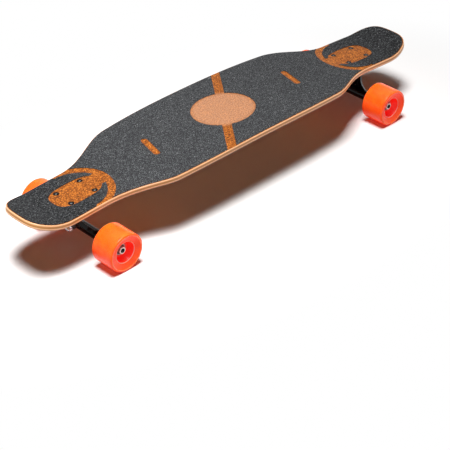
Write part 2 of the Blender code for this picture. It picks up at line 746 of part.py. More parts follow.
def make_kingpin(name):
    """The kingpin bolt about Z, its head behind the tower and its thread through the nut."""
    head = -TOWER_FACE - TOWER_DEPTH - GAP
    tip = NUT_TOP + KINGPIN_TIP
    profile = [
        (0.0, tip),
        (KINGPIN_RADIUS - THREAD_CHAMFER, tip),
        (KINGPIN_RADIUS, tip - THREAD_CHAMFER),
        (KINGPIN_RADIUS, head),
        (KINGPIN_HEAD_RADIUS, head),
        (KINGPIN_HEAD_RADIUS, head - KINGPIN_HEAD_HEIGHT),
        (0.0, head - KINGPIN_HEAD_HEIGHT),
    ]
    return turned(name, "steel", profile, ROUND_SEGMENTS)


def make_ring_part(name, finish, radii, low, high, bore):
    """A ring about Z whose outside runs through evenly spaced radii from low to high."""
    count = len(radii) - 1
    outside = [(radius, low + (high - low) * index / count) for index, radius in enumerate(radii)]
    return turned(name, finish, outside + [(bore, high), (bore, low)], ROUND_SEGMENTS, closed=True)


def make_kingpin_nut(name):
    """The kingpin's nut with its washer face."""
    washer = KINGPIN_NUT_WASHER_THICKNESS
    nut = drum(name, KINGPIN_NUT_WASHER_RADIUS, NUT_FACE, NUT_FACE + washer)
    nut.data.materials.clear()
    nut.data.materials.append(material("steel"))
    body = prism("body", "steel", hexagon(KINGPIN_NUT_ACROSS_FLATS), NUT_FACE + washer / 2, NUT_TOP)
    hole = drum("cutter", KINGPIN_RADIUS + GAP, NUT_FACE - CUT_PAST, NUT_TOP + CUT_PAST)
    return cut(unite(nut, body), hole)


def make_pivot_cup(name):
    """The cup in the pivot block, about the steering axis."""
    inner = CUP_RADIUS - CUP_WALL
    floor = CUP_INNER_END - CUP_FLOOR
    profile = [
        (0.0, CUP_INNER_END),
        (CUP_RADIUS, CUP_INNER_END),
        (CUP_RADIUS, -PIVOT_BLOCK_DEPTH),
        (inner, -PIVOT_BLOCK_DEPTH),
        (inner, floor),
        (0.0, floor),
    ]
    return turned(name, "black_urethane", profile, ROUND_SEGMENTS)


def make_tyre(name):
    """The urethane tyre about Z, which points out: tread, lips, dished outer face and both bowls."""
    seat = CORE_RADIUS + GAP
    lip = WHEEL_RADIUS - WHEEL_LIP_INSET
    profile = [
        (seat, BEARING_OUTER_FACE),
        (WHEEL_OUTER_MOUTH_RADIUS, WHEEL_OUTER_REACH - WHEEL_FACE_DISH),
        (lip, WHEEL_OUTER_REACH),
        (WHEEL_RADIUS, WHEEL_OUTER_REACH - WHEEL_LIP_WIDTH),
        (WHEEL_RADIUS, WHEEL_LIP_WIDTH - WHEEL_INNER_REACH),
        (lip, -WHEEL_INNER_REACH),
        (WHEEL_INNER_MOUTH_RADIUS, -WHEEL_INNER_REACH),
        (seat, -BEARING_OUTER_FACE),
    ]
    return turned(name, "orange_urethane", profile, WHEEL_SEGMENTS, closed=True)


def make_core(name):
    """The wheel's hard core with a seat for each bearing."""
    seat = BEARING_RADIUS + GAP
    stop = BEARING_INNER_FACE - GAP
    profile = [
        (seat, BEARING_OUTER_FACE),
        (CORE_RADIUS, BEARING_OUTER_FACE),
        (CORE_RADIUS, -BEARING_OUTER_FACE),
        (seat, -BEARING_OUTER_FACE),
        (seat, -stop),
        (CORE_WEB_RADIUS, -stop),
        (CORE_WEB_RADIUS, stop),
        (seat, stop),
    ]
    return turned(name, "orange_core", profile, ROUND_SEGMENTS, closed=True)


def make_bearing(name, low):
    """A bearing about Z."""
    high = low + BEARING_WIDTH
    outer = BEARING_RADIUS
    chamfer = BEARING_CHAMFER
    bore = AXLE_RADIUS + GAP
    profile = [(bore, low), (outer - chamfer, low), (outer, low + chamfer), (outer, high - chamfer)]
    profile += [(outer - chamfer, high), (bore, high)]
    return turned(name, "steel", profile, AXLE_SEGMENTS, closed=True)


def make_axle(name):
    """The axle about Z, right through the hanger and both wheels."""
    thin = AXLE_RADIUS - THREAD_CHAMFER
    profile = [(0.0, AXLE_HALF), (thin, AXLE_HALF), (AXLE_RADIUS, AXLE_HALF - THREAD_CHAMFER)]
    profile += [(radius, -height) for radius, height in reversed(profile)]
    return turned(name, "steel", profile, AXLE_SEGMENTS)


def empty(name, matrix, parent):
    """A frame that pieces hang on."""
    made = bpy.data.objects.new(name, None)
    bpy.context.scene.collection.objects.link(made)
    return attach(made, parent, matrix)


def attach(item, parent, matrix):
    """Hangs a piece on a frame."""
    item.parent = parent
    item.matrix_local = matrix
    return item


def truck_matrix(end):
    """Where a truck's frame lies: end is -1 at the nose and 1 at the tail."""
    outboard = Vector((end * math.cos(TILT), 0.0, -math.sin(TILT)))
    normal = Vector((end * math.sin(TILT), 0.0, math.cos(TILT)))
    columns = Matrix((outboard, normal.cross(outboard), normal)).transposed()
    x = end * (PATTERN_X - DECK_THICKNESS * math.sin(TILT))
    return Matrix.Translation((x, 0.0, UNDERSIDE_Z)) @ columns.to_4x4()


def make_wheel_pieces():
    """One wheel's pieces, to be copied for the others."""
    nut = make_nut("axle_nut", "steel", AXLE_NUT_ACROSS_FLATS, AXLE_NUT_HEIGHT, AXLE_RADIUS + GAP)
    place(nut, Matrix.Translation((0.0, 0.0, BEARING_OUTER_FACE + GAP)))
    return [
        make_tyre("tyre"),
        make_core("core"),
        make_bearing("inner_bearing", -BEARING_OUTER_FACE),
        make_bearing("outer_bearing", BEARING_INNER_FACE),
        nut,
    ]


def make_fastener_pieces():
    """One deck bolt and its locknut, to be copied for the others."""
    nut = make_nut("locknut", "black_steel", LOCKNUT_ACROSS_FLATS, LOCKNUT_HEIGHT, BOLT_RADIUS + GAP)
    place(nut, Matrix.Translation((0.0, 0.0, BASE_FACE - GAP - LOCKNUT_HEIGHT)))
    return [make_bolt("bolt"), nut]


def attach_copies(pieces, label, parent, matrix):
    """Hangs a copy of each piece on a frame, named after the place it goes to."""
    for piece in pieces:
        attach(copy_of(piece, "%s_%s" % (piece.name, label)), parent, matrix)


def make_truck(label, end, wheel_pieces, fastener_pieces):
    """A whole truck with its wheels and fasteners, under one end of the deck."""
    frame = empty("truck_" + label, truck_matrix(end), None)
    steer = empty("steer_" + label, steering_frame(), frame)
    pin_frame = kingpin_frame()
    fixed_pin = steering_frame() @ pin_frame
    pin_bore = KINGPIN_RADIUS + GAP
    bulge = BOARDSIDE_BUSHING_RADIUS + BUSHING_BULGE
    attach(make_baseplate("baseplate_" + label), frame, Matrix.Identity(4))
    attach(make_kingpin("kingpin_" + label), frame, fixed_pin)
    attach(make_kingpin_nut("kingpin_nut_" + label), frame, fixed_pin)
    attach(make_pivot_cup("pivot_cup_" + label), frame, steering_frame())
    washer = make_ring_part(
        "cup_washer_" + label, "steel", [CUP_WASHER_RADIUS] * 2,
        -WASHER_FACE - CUP_WASHER_THICKNESS, -WASHER_FACE, pin_bore,
    )
    attach(washer, frame, fixed_pin)
    boardside = make_ring_part(
        "boardside_bushing_" + label, "black_urethane",
        [BOARDSIDE_BUSHING_RADIUS, bulge, BOARDSIDE_BUSHING_RADIUS],
        GAP - WASHER_FACE, -PLATE_HALF - GAP, pin_bore,
    )
    attach(boardside, frame, fixed_pin)
    roadside = make_ring_part(
        "roadside_bushing_" + label, "black_urethane",
        [ROADSIDE_BUSHING_RADIUS, ROADSIDE_BUSHING_RADIUS, ROADSIDE_BUSHING_TOP_RADIUS],
        PLATE_HALF + GAP, NUT_FACE - GAP, pin_bore,
    )
    attach(roadside, frame, fixed_pin)
    attach(make_hanger("hanger_" + label), steer, Matrix.Identity(4))
    out_left = Matrix.Translation((0.0, 0.0, -PIVOT_TO_AXLE)) @ Matrix.Rotation(-math.pi / 2, 4, "X")
    attach(make_axle("axle_" + label), steer, out_left)
    for side, name in ((1, "a"), (-1, "b")):
        point = Matrix.Translation((0.0, side * HUB_OFFSET, -PIVOT_TO_AXLE))
        flat_down = side * (STEER - TILT) + math.pi / WHEEL_SEGMENTS
        lie = Matrix.Rotation(-side * math.pi / 2, 4, "X") @ Matrix.Rotation(flat_down, 4, "Z")
        hub = empty("hub_%s_%s" % (label, name), point @ lie, steer)
        attach_copies(wheel_pieces, "%s_%s" % (label, name), hub, Matrix.Identity(4))
    for index, (along, across) in enumerate(bolt_places(), start=1):
        spot = Matrix.Translation((along, across, 0.0))
        attach_copies(fastener_pieces, "%s_%d" % (label, index), frame, spot)


def main():
    """Builds the whole board."""
    clear_scene()
    make_deck()
    make_end_grip("grip_nose", -1)
    make_middle_grip("grip_front", -1)
    make_middle_grip("grip_rear", 1)
    make_end_grip("grip_tail", 1)
    wheel_pieces = make_wheel_pieces()
    fastener_pieces = make_fastener_pieces()
    make_truck("front", -1, wheel_pieces, fastener_pieces)
    make_truck("rear", 1, wheel_pieces, fastener_pieces)
    for piece in wheel_pieces + fastener_pieces:
        bpy.data.objects.remove(piece, do_unlink=True)


main()
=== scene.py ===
"""Looks of the cambered longboard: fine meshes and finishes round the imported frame.

The deck and its grip are drawn flat and then bent: x runs along the deck's top and z is the
height above it. The point attribute "flat" keeps where each point lay before the bend, so
that cork, plies, grain and print follow the wood.
"""

import json
import math

import bmesh
import bpy
from mathutils import Matrix, Vector


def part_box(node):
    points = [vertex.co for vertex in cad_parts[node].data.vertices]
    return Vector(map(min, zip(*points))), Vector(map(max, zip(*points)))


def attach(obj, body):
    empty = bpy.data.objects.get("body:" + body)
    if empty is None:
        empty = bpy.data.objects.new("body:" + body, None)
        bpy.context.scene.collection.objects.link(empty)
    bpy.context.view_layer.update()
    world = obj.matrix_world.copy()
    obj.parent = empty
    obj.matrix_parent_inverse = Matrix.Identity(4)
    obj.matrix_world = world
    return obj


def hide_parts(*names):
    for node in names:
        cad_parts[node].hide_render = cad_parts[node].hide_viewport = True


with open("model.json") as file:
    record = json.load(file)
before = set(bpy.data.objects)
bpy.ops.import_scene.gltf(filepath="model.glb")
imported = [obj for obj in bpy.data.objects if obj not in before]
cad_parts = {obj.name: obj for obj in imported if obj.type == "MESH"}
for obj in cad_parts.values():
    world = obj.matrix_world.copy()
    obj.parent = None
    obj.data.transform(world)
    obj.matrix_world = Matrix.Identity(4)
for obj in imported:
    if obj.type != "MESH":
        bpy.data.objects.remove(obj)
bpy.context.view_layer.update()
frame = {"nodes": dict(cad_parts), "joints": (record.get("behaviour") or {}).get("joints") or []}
WHITE = (1.0, 1.0, 1.0)

# Sizes shared with the frame's pieces, in metres
GAP = 0.0003
DECK_LENGTH = 0.985
DECK_WIDTH = 0.2244
NECK_WIDTH = 0.1270
DECK_THICKNESS = 0.0102
BELLY_TAPER = 0.0067
BELLY_TAPER_AT = 0.220
BELLY_TAPER_POWER = 3.14
TRUCK_FROM_TIP = 0.1285
SHOULDER_FROM_TRUCK = 0.1544
SHOULDER_LENGTH = 0.1404
TIP_ROUND_LENGTH = 0.0995
TIP_SQUARENESS = 3.20
CAMBER_RISE = 0.0201
CAMBER_RADIUS = 3.89
PLATFORM_TILT = 3.0
PLATFORM_INBOARD = 0.024
PLATFORM_OUTBOARD = 0.058
PLATFORM_BLEND = 0.100
TIP_KICK = 0.0112
TIP_KICK_ANGLE = 15.6
RING_INNER_RADIUS = 0.057
RING_WIDTH = 0.014
WINDOW_LENGTH = 0.100
WINDOW_WIDTH = 0.060
WINDOW_SQUARENESS = 3.0
WINDOW_NECK_WIDTH = 0.036
BAND_WIDTH = 0.018
BAND_ANGLE = 52.0
OVAL_LENGTH = 0.134
OVAL_WIDTH = 0.112
SLOT_LENGTH = 0.060
SLOT_WIDTH = 0.013
SLOT_ANGLE = 76.0
SLOT_FROM_MIDDLE = 0.186
BOLT_SPACING_ALONG = 0.0540
BOLT_SPACING_ACROSS = 0.0413
BOLT_RADIUS = 0.0025
BOLT_HEAD_RADIUS = 0.0057
BOLT_HEAD_SUNK = 0.0004
BOLT_LENGTH = 0.0235
SOCKET_RADIUS = 0.0023
SOCKET_DEPTH = 0.0010
AXLE_DROP = 0.0617
AXLE_OFFSET = -0.0021
BASE_THICKNESS = 0.0060
PIVOT_TO_KINGPIN = 0.0435
KINGPIN_RADIUS = 0.00475
WHEEL_OUTER_REACH = 0.0297
WHEEL_INNER_REACH = 0.0223
WHEEL_FACE_DISH = 0.0047
WHEEL_OUTER_MOUTH_RADIUS = 0.0205
WHEEL_INNER_MOUTH_RADIUS = 0.0235
CORE_RADIUS = 0.0150
BEARING_RADIUS = 0.0110
BEARING_INNER_FACE = 0.0050
BEARING_OUTER_FACE = 0.0120
AXLE_RADIUS = 0.0040
AXLE_NUT_ACROSS_FLATS = 0.0127
AXLE_NUT_HEIGHT = 0.0060

# Sizes that only the looks need
EDGE_ROUND = 0.0016
GRIP_MARGIN = 0.0024
GRIP_THICKNESS = 0.0009
HAIR = 0.00002
CUT_PAST = 0.001
BAMBOO_STRIP = 0.019
CHEVRON_HALF_WIDTH = 0.018
CHEVRON_PITCH = 0.020
PRINT_HALF_LENGTH = 0.235
PRINT_HALF_WIDTH = 0.094
PRINT_DISC_RADIUS = 0.060
THREAD_PITCH = 0.00106
THREAD_DEPTH = 0.0005
BOLT_PITCH = 0.0008
LOCKNUT_ACROSS_FLATS = 0.0080
LOCKNUT_HEX_HEIGHT = 0.0038
LOCKNUT_HEIGHT = 0.0050
COLLAR_RADIUS = 0.0034
COLLAR_HEIGHT = 0.0013
HANGER_HALF_THICKNESS = 0.0045
SEAT_DEPTH = 0.0006
BARREL_RADIUS = 0.0119
BARREL_LENGTH = 0.0130
CONE_RADIUS = 0.0118
CONE_TOP_RADIUS = 0.0100
CONE_LENGTH = 0.0080
BUSHING_ROUND = 0.0010
CUP_WASHER_RADIUS = 0.0135
CUP_WASHER_HEIGHT = 0.0020
TOWER_DEPTH = 0.0255
KINGPIN_HEAD_RADIUS = 0.0078
KINGPIN_HEAD_HEIGHT = 0.0050
KINGPIN_TIP = 0.0014
KINGPIN_WASHER_RADIUS = 0.0110
KINGPIN_WASHER_THICKNESS = 0.0018
KINGPIN_NUT_ACROSS_FLATS = 0.0143
KINGPIN_NUT_HEIGHT = 0.0066
FACE_BEAD_INSET = 0.0052
OUTER_RACE_BORE = 0.0094
INNER_RACE_RADIUS = 0.0060
CORE_STOP_RADIUS = 0.0085
AXLE_WASHER_RADIUS = 0.0062
AXLE_THREAD_LENGTH = 0.012
FLOOR_HALF_SIZE = 6.0
SHADED_HALF_LENGTH = 0.84
SHADED_HALF_WIDTH = 0.43

# Fineness of the meshes
FINE_STEP = 0.005
TIP_STEPS = 24
EDGE_STEPS = 5
RING_STEPS = 160
RING_ARC_STEPS = 40
OVAL_STEPS = 140
WINDOW_STEPS = 120
SLOT_STEPS = 16
BASE_VOXEL = 0.0008
BASE_ROUNDS = 3
HANGER_VOXEL = 0.0009
HANGER_ROUNDS = 5

TILT = math.radians(PLATFORM_TILT)
HALF_LENGTH = DECK_LENGTH / 2
PATTERN_X = HALF_LENGTH - TRUCK_FROM_TIP
SHOULDER_START = PATTERN_X - SHOULDER_FROM_TRUCK
CAMBER_END = PATTERN_X - PLATFORM_INBOARD - PLATFORM_BLEND
JOINTS = {joint["name"]: joint for joint in frame["joints"]}
AXLE_HEIGHT = JOINTS["wheel_front_a_spin"]["pos_m"][2]
TREAD_RADIUS = AXLE_HEIGHT
UNDERSIDE_Z = AXLE_HEIGHT + AXLE_OFFSET * math.sin(TILT) + AXLE_DROP * math.cos(TILT)
TOP_Z = UNDERSIDE_Z + DECK_THICKNESS * math.cos(TILT)


# Node trees


class Nodes:
    """A short way to write node trees."""

    def __init__(self, tree):
        self.tree = tree

    def new(self, kind, inputs=None, **attributes):
        """Adds a node, sets its attributes and links or sets its inputs."""
        node = self.tree.nodes.new(kind)
        for key, value in attributes.items():
            setattr(node, key, value)
        for key, value in (inputs or {}).items():
            socket = node.inputs[key]
            if isinstance(value, bpy.types.NodeSocket):
                self.tree.links.new(value, socket)
            else:
                socket.default_value = (*value, 1.0) if socket.type == "RGBA" else value
        return node

    def kept(self, name):
        """Where the point lay: "flat" is before the deck was bent, "local" is in the piece's own frame."""
        return self.new("ShaderNodeAttribute", attribute_name=name).outputs["Vector"]

    def where(self):
        """The point in the object's frame."""
        return self.new("ShaderNodeTexCoord").outputs["Object"]

    def split(self, vector):
        """A vector's x, y and z."""
        return list(self.new("ShaderNodeSeparateXYZ", {0: vector}).outputs)

    def stretch(self, vector, scale):
        """A vector scaled by another."""
        return self.new("ShaderNodeVectorMath", {0: vector, 1: scale}, operation="MULTIPLY").outputs[0]

    def math(self, operation, a, b=0.0, c=0.0):
        """One sum."""
        return self.new("ShaderNodeMath", {0: a, 1: b, 2: c}, operation=operation).outputs[0]

    def radius(self, x, y, half_x=1.0, half_y=1.0):
        """Distance from the middle, 1 on the ellipse of the given half sizes."""
        along = self.math("POWER", self.math("DIVIDE", x, half_x), 2.0)
        across = self.math("POWER", self.math("DIVIDE", y, half_y), 2.0)
        return self.math("SQRT", self.math("ADD", along, across))

    def times(self, product, *values):
        """The product of plain values."""
        for value in values:
            product = self.math("MULTIPLY", product, value)
        return product

    def noise(self, vector, scale, detail=3.0, rough=0.55):
        """Fractal noise from 0 to 1."""
        inputs = {"Vector": vector, "Scale": scale, "Detail": detail, "Roughness": rough}
        return self.new("ShaderNodeTexNoise", inputs).outputs[0]

    def cells(self, vector, scale):
        """Three random numbers for each cell."""
        node = self.new("ShaderNodeTexVoronoi", {"Vector": vector, "Scale": scale})
        return self.split(node.outputs["Color"])

    def ramp(self, value, stops):
        """Colours or plain values along a value, from (place, colour) stops."""
        node = self.new("ShaderNodeValToRGB", {0: value})
        elements = node.color_ramp.elements
        while len(elements) < len(stops):
            elements.new(0.5)
        for element, (place, colour) in zip(elements, stops):
            element.position = place
            element.color = (*colour, 1.0) if isinstance(colour, tuple) else (colour, colour, colour, 1.0)
        return node.outputs[0]

    def patches(self, vector, scale, low, high, detail=3.0):
        """Soft patches between two colours or plain values."""
        return self.ramp(self.noise(vector, scale, detail), [(0.3, low), (0.7, high)])

    def mix(self, factor, a, b, kind="MIX"):
        """Two colours mixed."""
        inputs = {0: factor, 6: a, 7: b}
        return self.new("ShaderNodeMix", inputs, data_type="RGBA", blend_type=kind).outputs[2]

    def tinted(self, colour, *tints):
        """A colour multiplied by others."""
        for tint in tints:
            colour = self.mix(1.0, colour, tint, "MULTIPLY")
        return colour

    def step(self, value, low, high):
        """0 below low, 1 above high, smooth between."""
        inputs = {"Value": value, "From Min": low, "From Max": high}
        return self.new("ShaderNodeMapRange", inputs, interpolation_type="SMOOTHSTEP").outputs[0]

    def line(self, value, centre, inside, outside):
        """1 on a line where the value is at the centre, fading to 0 beside it."""
        off = self.math("ABSOLUTE", self.math("SUBTRACT", value, centre))
        return self.math("SUBTRACT", 1.0, self.step(off, inside, outside))

    def background_ray(self):
        """1 for rays that see the white surroundings."""
        path = self.new("ShaderNodeLightPath").outputs
        bounced = self.math("MAXIMUM", path["Is Glossy Ray"], path["Is Transmission Ray"])
        return self.math("MAXIMUM", path["Is Camera Ray"], bounced)

    def output(self, factor, a, b, name):
        """Mixes two shaders on the way to the tree's output."""
        mixed = self.new("ShaderNodeMixShader", {0: factor, 1: a, 2: b}).outputs[0]
        self.tree.links.new(mixed, self.tree.nodes[name].inputs["Surface"])


class Finish(Nodes):
    """A material's nodes, round its shader."""

    def __init__(self, name, rough=0.5, metal=0.0, colour=(0.8, 0.8, 0.8)):
        self.material = bpy.data.materials.new(name)
        self.material.use_nodes = True
        self.material.diffuse_color = (*colour, 1.0)
        super().__init__(self.material.node_tree)
        self.shader = self.tree.nodes["Principled BSDF"]
        self.set(roughness=rough, metallic=metal, base_color=(*colour, 1.0))

    def set(self, **values):
        """Sets plain values on the shader's own sockets."""
        for key, value in values.items():
            self.shader.inputs[key.replace("_", " ").title().replace("Ior", "IOR")].default_value = value

    def link(self, socket, name):
        """Links a socket to the shader."""
        self.tree.links.new(socket, self.shader.inputs[name])

    def bump(self, height, distance, strength):
        """Bump of the given depth in metres."""
        node = self.new("ShaderNodeBump", {"Height": height, "Distance": distance, "Strength": strength})
        self.link(node.outputs[0], "Normal")


def grip_material():
    """Charcoal grit: packed grains, the palest painted as glints, darker towards both tips and over the rear
    half through painted shade.
    """
    n = Finish("grip_grit", rough=0.9)
    flat = n.kept("flat")
    red, green, blue = n.cells(flat, 1150.0)
    # Grain colours from near black to grey; the palest few grains are painted glints.
    grain_colour_and_glints = n.ramp(red, [(0.0, (0.010, 0.010, 0.012)), (0.45, (0.036, 0.037, 0.040)),
                        (0.86, (0.078, 0.081, 0.085)), (0.97, (0.19, 0.20, 0.21)), (1.0, (0.36, 0.37, 0.38))])
    x = n.split(flat)[0]
    fresh = n.step(n.math("ABSOLUTE", x), 0.31, 0.37)
    fine = n.math("SUBTRACT", n.noise(flat, 600.0, detail=2.0), 0.5)
    coarse = n.math("SUBTRACT", n.noise(flat, 330.0), 0.5)
    clumps = n.math("ADD", n.times(coarse, fresh, 2.3), n.times(fine, 0.50))
    shade = n.ramp(n.math("ADD", clumps, 0.5), [(0.34, 0.38), (0.68, (1.60, 1.60, 1.59)), (1.0, 2.4)])
    wear = n.patches(flat, 14.0, 0.93, (1.05, 1.05, 1.04))
    # Painted shade along the deck: the grit is darker towards both tips and a little over the rear half.
    painted_shade_along_deck = n.ramp(n.math("ADD", x, 0.5), [(0.01, 0.46), (0.14, 0.50), (0.19, 0.93), (0.40, 0.95),
                                         (0.75, 0.84), (0.82, 0.86), (0.87, 0.50), (0.99, 0.46)])
    n.link(n.tinted(grain_colour_and_glints, shade, wear, painted_shade_along_deck), "Base Color")
    n.set(specular_ior_level=0.15)
    n.link(n.ramp(green, [(0.0, 0.95), (0.9, 0.75), (1.0, 0.42)]), "Roughness")
    n.bump(n.math("ADD", blue, n.noise(flat, 900.0, detail=1.0)), 0.00015, 0.6)
    return n.material


def cork_colour(n, flat):
    """Orange cork: granules from tan to brown, with dark flecks."""
    swirl = n.new("ShaderNodeTexNoise", {"Vector": flat, "Scale": 420.0, "Detail": 2.0}).outputs["Color"]
    shift = n.stretch(swirl, (0.0012, 0.0012, 0.0012))
    warped = n.new("ShaderNodeVectorMath", {0: flat, 1: shift}, operation="ADD").outputs[0]
    red, green, _ = n.cells(warped, 600.0)
    granule = n.ramp(red, [(0.0, (0.085, 0.019, 0.001)), (0.22, (0.19, 0.045, 0.002)),
                           (0.60, (0.32, 0.082, 0.005)), (1.0, (0.72, 0.245, 0.035))])
    small = n.cells(warped, 1000.0)[1]
    fleck = n.step(small, 0.86, 0.94)
    speck = n.mix(n.times(fleck, 0.65), granule, (0.16, 0.040, 0.006))
    broad = n.patches(flat, 26.0, (0.90, 0.88, 0.86), (1.08, 1.08, 1.06))
    return n.tinted(speck, broad), n.math("ADD", green, n.times(small, 0.5))


def cork_material():
    """The cork top sheet, with a pale plain oval in the middle of the deck."""
    n = Finish("cork_top", rough=0.62)
    flat = n.kept("flat")
    colour, height = cork_colour(n, flat)
    x, y, _ = n.split(flat)
    oval = n.radius(x, y, OVAL_LENGTH / 2, OVAL_WIDTH / 2)
    inside = n.math("SUBTRACT", 1.0, n.step(oval, 0.86, 1.12))
    grain = n.noise(flat, 420.0, detail=4.0)
    fine = n.ramp(grain, [(0.36, (0.34, 0.155, 0.078)), (0.64, (0.68, 0.37, 0.22))])
    n.link(n.mix(n.times(inside, 0.68), colour, fine), "Base Color")
    n.bump(height, 0.00012, 0.5)
    n.set(specular_ior_level=0.15, coat_weight=0.12, coat_roughness=0.35)
    return n.material


def bamboo(n, flat):
    """Golden bamboo strips with long grain and a few nodes across them."""
    x, y, z = n.split(flat)
    strips = n.times(y, 1.0 / BAMBOO_STRIP)
    strip = n.math("FLOOR", strips)
    shifted = n.math("ADD", x, n.times(n.math("FRACT", n.times(strip, 0.377)), 0.7))
    moved = n.new("ShaderNodeCombineXYZ", {0: shifted, 1: y, 2: z}).outputs[0]
    grain = n.noise(n.stretch(moved, (18.0, 620.0, 60.0)), 1.0, detail=5.0, rough=0.6)
    fibre = n.noise(n.stretch(moved, (60.0, 2600.0, 60.0)), 1.0, detail=2.0)
    base = n.ramp(grain, [(0.25, (0.58, 0.245, 0.062)), (0.5, (0.76, 0.385, 0.115)),
                          (0.8, (0.86, 0.50, 0.185))])
    order = n.math("FRACT", n.times(strip, 0.618))
    tint = n.ramp(order, [(0.0, (0.90, 0.88, 0.84)), (1.0, (1.06, 1.06, 1.04))])
    seam = n.math("ABSOLUTE", n.math("SUBTRACT", n.math("FRACT", strips), 0.5))
    toned = n.mix(n.times(n.step(seam, 0.485, 0.5), 0.35), n.tinted(base, tint), (0.38, 0.15, 0.04))
    stagger = n.math("FRACT", n.times(strip, 0.43))
    knot = n.line(n.math("FRACT", n.math("MULTIPLY_ADD", shifted, 3.4, stagger)), 0.5, 0.004, 0.016)
    toned = n.mix(n.times(knot, 0.45), toned, (0.40, 0.17, 0.05))
    streaks = n.ramp(fibre, [(0.3, (0.86, 0.84, 0.80)), (0.7, 1.05)])
    return n.tinted(toned, streaks), n.math("ADD", grain, n.times(fibre, 0.4))


def print_mask(n, flat):
    """A generic print: rows of stacked chevrons that thin out from the middle to the ends."""
    x, y, _ = n.split(flat)
    along = n.math("ABSOLUTE", x)
    rise = n.times(n.math("PINGPONG", y, CHEVRON_HALF_WIDTH), 0.85)
    wave = n.math("FRACT", n.math("DIVIDE", n.math("ADD", along, rise), CHEVRON_PITCH))
    thick = n.math("SUBTRACT", 0.66, n.times(n.step(along, 0.055, PRINT_HALF_LENGTH), 0.60))
    wobble = n.times(n.math("SUBTRACT", n.noise(flat, 240.0, detail=2.0), 0.5), 0.10)
    ink = n.math("LESS_THAN", n.math("ADD", wave, wobble), thick)
    inside = n.math("LESS_THAN", n.math("ABSOLUTE", y), PRINT_HALF_WIDTH)
    reach = n.math("LESS_THAN", along, PRINT_HALF_LENGTH)
    clear = n.math("GREATER_THAN", n.radius(x, y), PRINT_DISC_RADIUS)
    return n.times(ink, inside, reach, clear)


def underside_material():
    """Lacquered bamboo with a black print round a bare disc."""
    n = Finish("bamboo_underside", rough=0.30)
    flat = n.kept("flat")
    colour, height = bamboo(n, flat)
    ink = print_mask(n, flat)
    n.link(n.mix(n.times(ink, 0.96), colour, (0.012, 0.010, 0.010)), "Base Color")
    n.bump(height, 0.00005, 0.35)
    n.set(coat_weight=0.45, coat_roughness=0.12)
    return n.material


def edge_material():
    """The laminate's edge: cork skin, pale plies, a darker core and fine cross-grain, glowing faintly with
    painted light.
    """
    n = Finish("ply_edge", rough=0.42)
    flat = n.kept("flat")
    depth = n.times(n.split(flat)[2], -1.0 / DECK_THICKNESS)
    ragged = n.math("SUBTRACT", n.noise(n.stretch(flat, (90.0, 90.0, 500.0)), 1.0), 0.5)
    plies = n.ramp(n.math("MULTIPLY_ADD", ragged, 0.03, depth), [
        (0.00, (0.60, 0.26, 0.08)), (0.03, (0.86, 0.50, 0.27)), (0.17, (0.87, 0.53, 0.30)),
        (0.24, (0.66, 0.34, 0.125)), (0.42, (0.50, 0.22, 0.065)), (0.60, (0.56, 0.27, 0.085)),
        (0.66, (0.94, 0.62, 0.37)), (0.82, (0.94, 0.64, 0.40)), (0.90, (0.44, 0.20, 0.08)),
        (1.00, (0.42, 0.18, 0.06))])
    lines = n.noise(n.stretch(flat, (34.0, 34.0, 2400.0)), 1.0)
    grain = n.ramp(lines, [(0.3, (0.84, 0.82, 0.79)), (0.7, (1.08, 1.07, 1.05))])
    pores = n.step(n.noise(n.stretch(flat, (900.0, 900.0, 3000.0)), 1.0, detail=1.0), 0.66, 0.72)
    wood = n.mix(n.times(pores, 0.35), n.tinted(plies, grain), (0.30, 0.13, 0.05))
    n.link(wood, "Base Color")
    # The wood's colours also glow faintly: painted light that brightens the edge though it is no lamp.
    n.link(wood, "Emission Color")
    n.bump(lines, 0.00006, 0.4)
    n.set(coat_weight=0.4, coat_roughness=0.22, specular_ior_level=0.3, emission_strength=0.22)
    return n.material


def urethane_material():
    """Translucent orange urethane with painted light: shade painted deeper red in its bowl and on its dished
    face, a painted highlight round its mouth and a red glow; paler where the bead on its face is rubbed.
    """
    n = Finish("orange_urethane", rough=0.30, colour=(1.0, 0.24, 0.012))
    local = n.kept("local")
    body = n.patches(local, 60.0, (0.98, 0.138, 0.005), (1.0, 0.180, 0.009))
    x, y, z = n.split(local)
    radius = n.radius(x, y)
    mouth = WHEEL_OUTER_MOUTH_RADIUS
    bead = TREAD_RADIUS - FACE_BEAD_INSET
    bowl = n.math("LESS_THAN", radius, mouth - 0.0001)
    front = n.math("GREATER_THAN", z, 0.0)
    face = n.math("GREATER_THAN", z, WHEEL_OUTER_REACH - WHEEL_FACE_DISH - 0.0006)
    dished = n.times(face, n.math("LESS_THAN", radius, bead))
    # Painted shade: the whole dished face is tinted deeper red.
    body = n.mix(n.times(dished, 0.4), body, (0.98, 0.150, 0.030))
    # Painted shade: the bowl inside the mouth is a darker red.
    body = n.mix(n.times(bowl, front), body, (0.96, 0.055, 0.010))
    mouth_highlight = n.line(radius, mouth + 0.0005, 0.0005, 0.0009)
    bead_line = n.line(radius, bead + 0.0013, 0.0007, 0.0012)
    broken = n.math("MULTIPLY_ADD", n.step(n.noise(local, 150.0, detail=2.0), 0.40, 0.62), 0.4, 0.5)
    # A pale ring just outside the mouth: a painted highlight on the lip's edge.
    body = n.mix(n.times(mouth_highlight, face, 0.95), body, (1.0, 0.80, 0.66))
    body = n.mix(n.times(bead_line, face, broken), body, (1.0, 0.58, 0.30))
    n.link(body, "Base Color")
    n.link(n.patches(local, 700.0, 0.22, 0.36), "Roughness")
    n.bump(n.noise(local, 900.0, detail=2.0), 0.00002, 0.35)
    n.set(subsurface_weight=0.5, subsurface_radius=(1.0, 0.08, 0.04), subsurface_scale=0.03)
    # The red emission is painted light: the urethane glows though it is no lamp.
    n.set(emission_color=(1.0, 0.008, 0.012, 1.0), emission_strength=0.38, specular_ior_level=0.24)
    return n.material


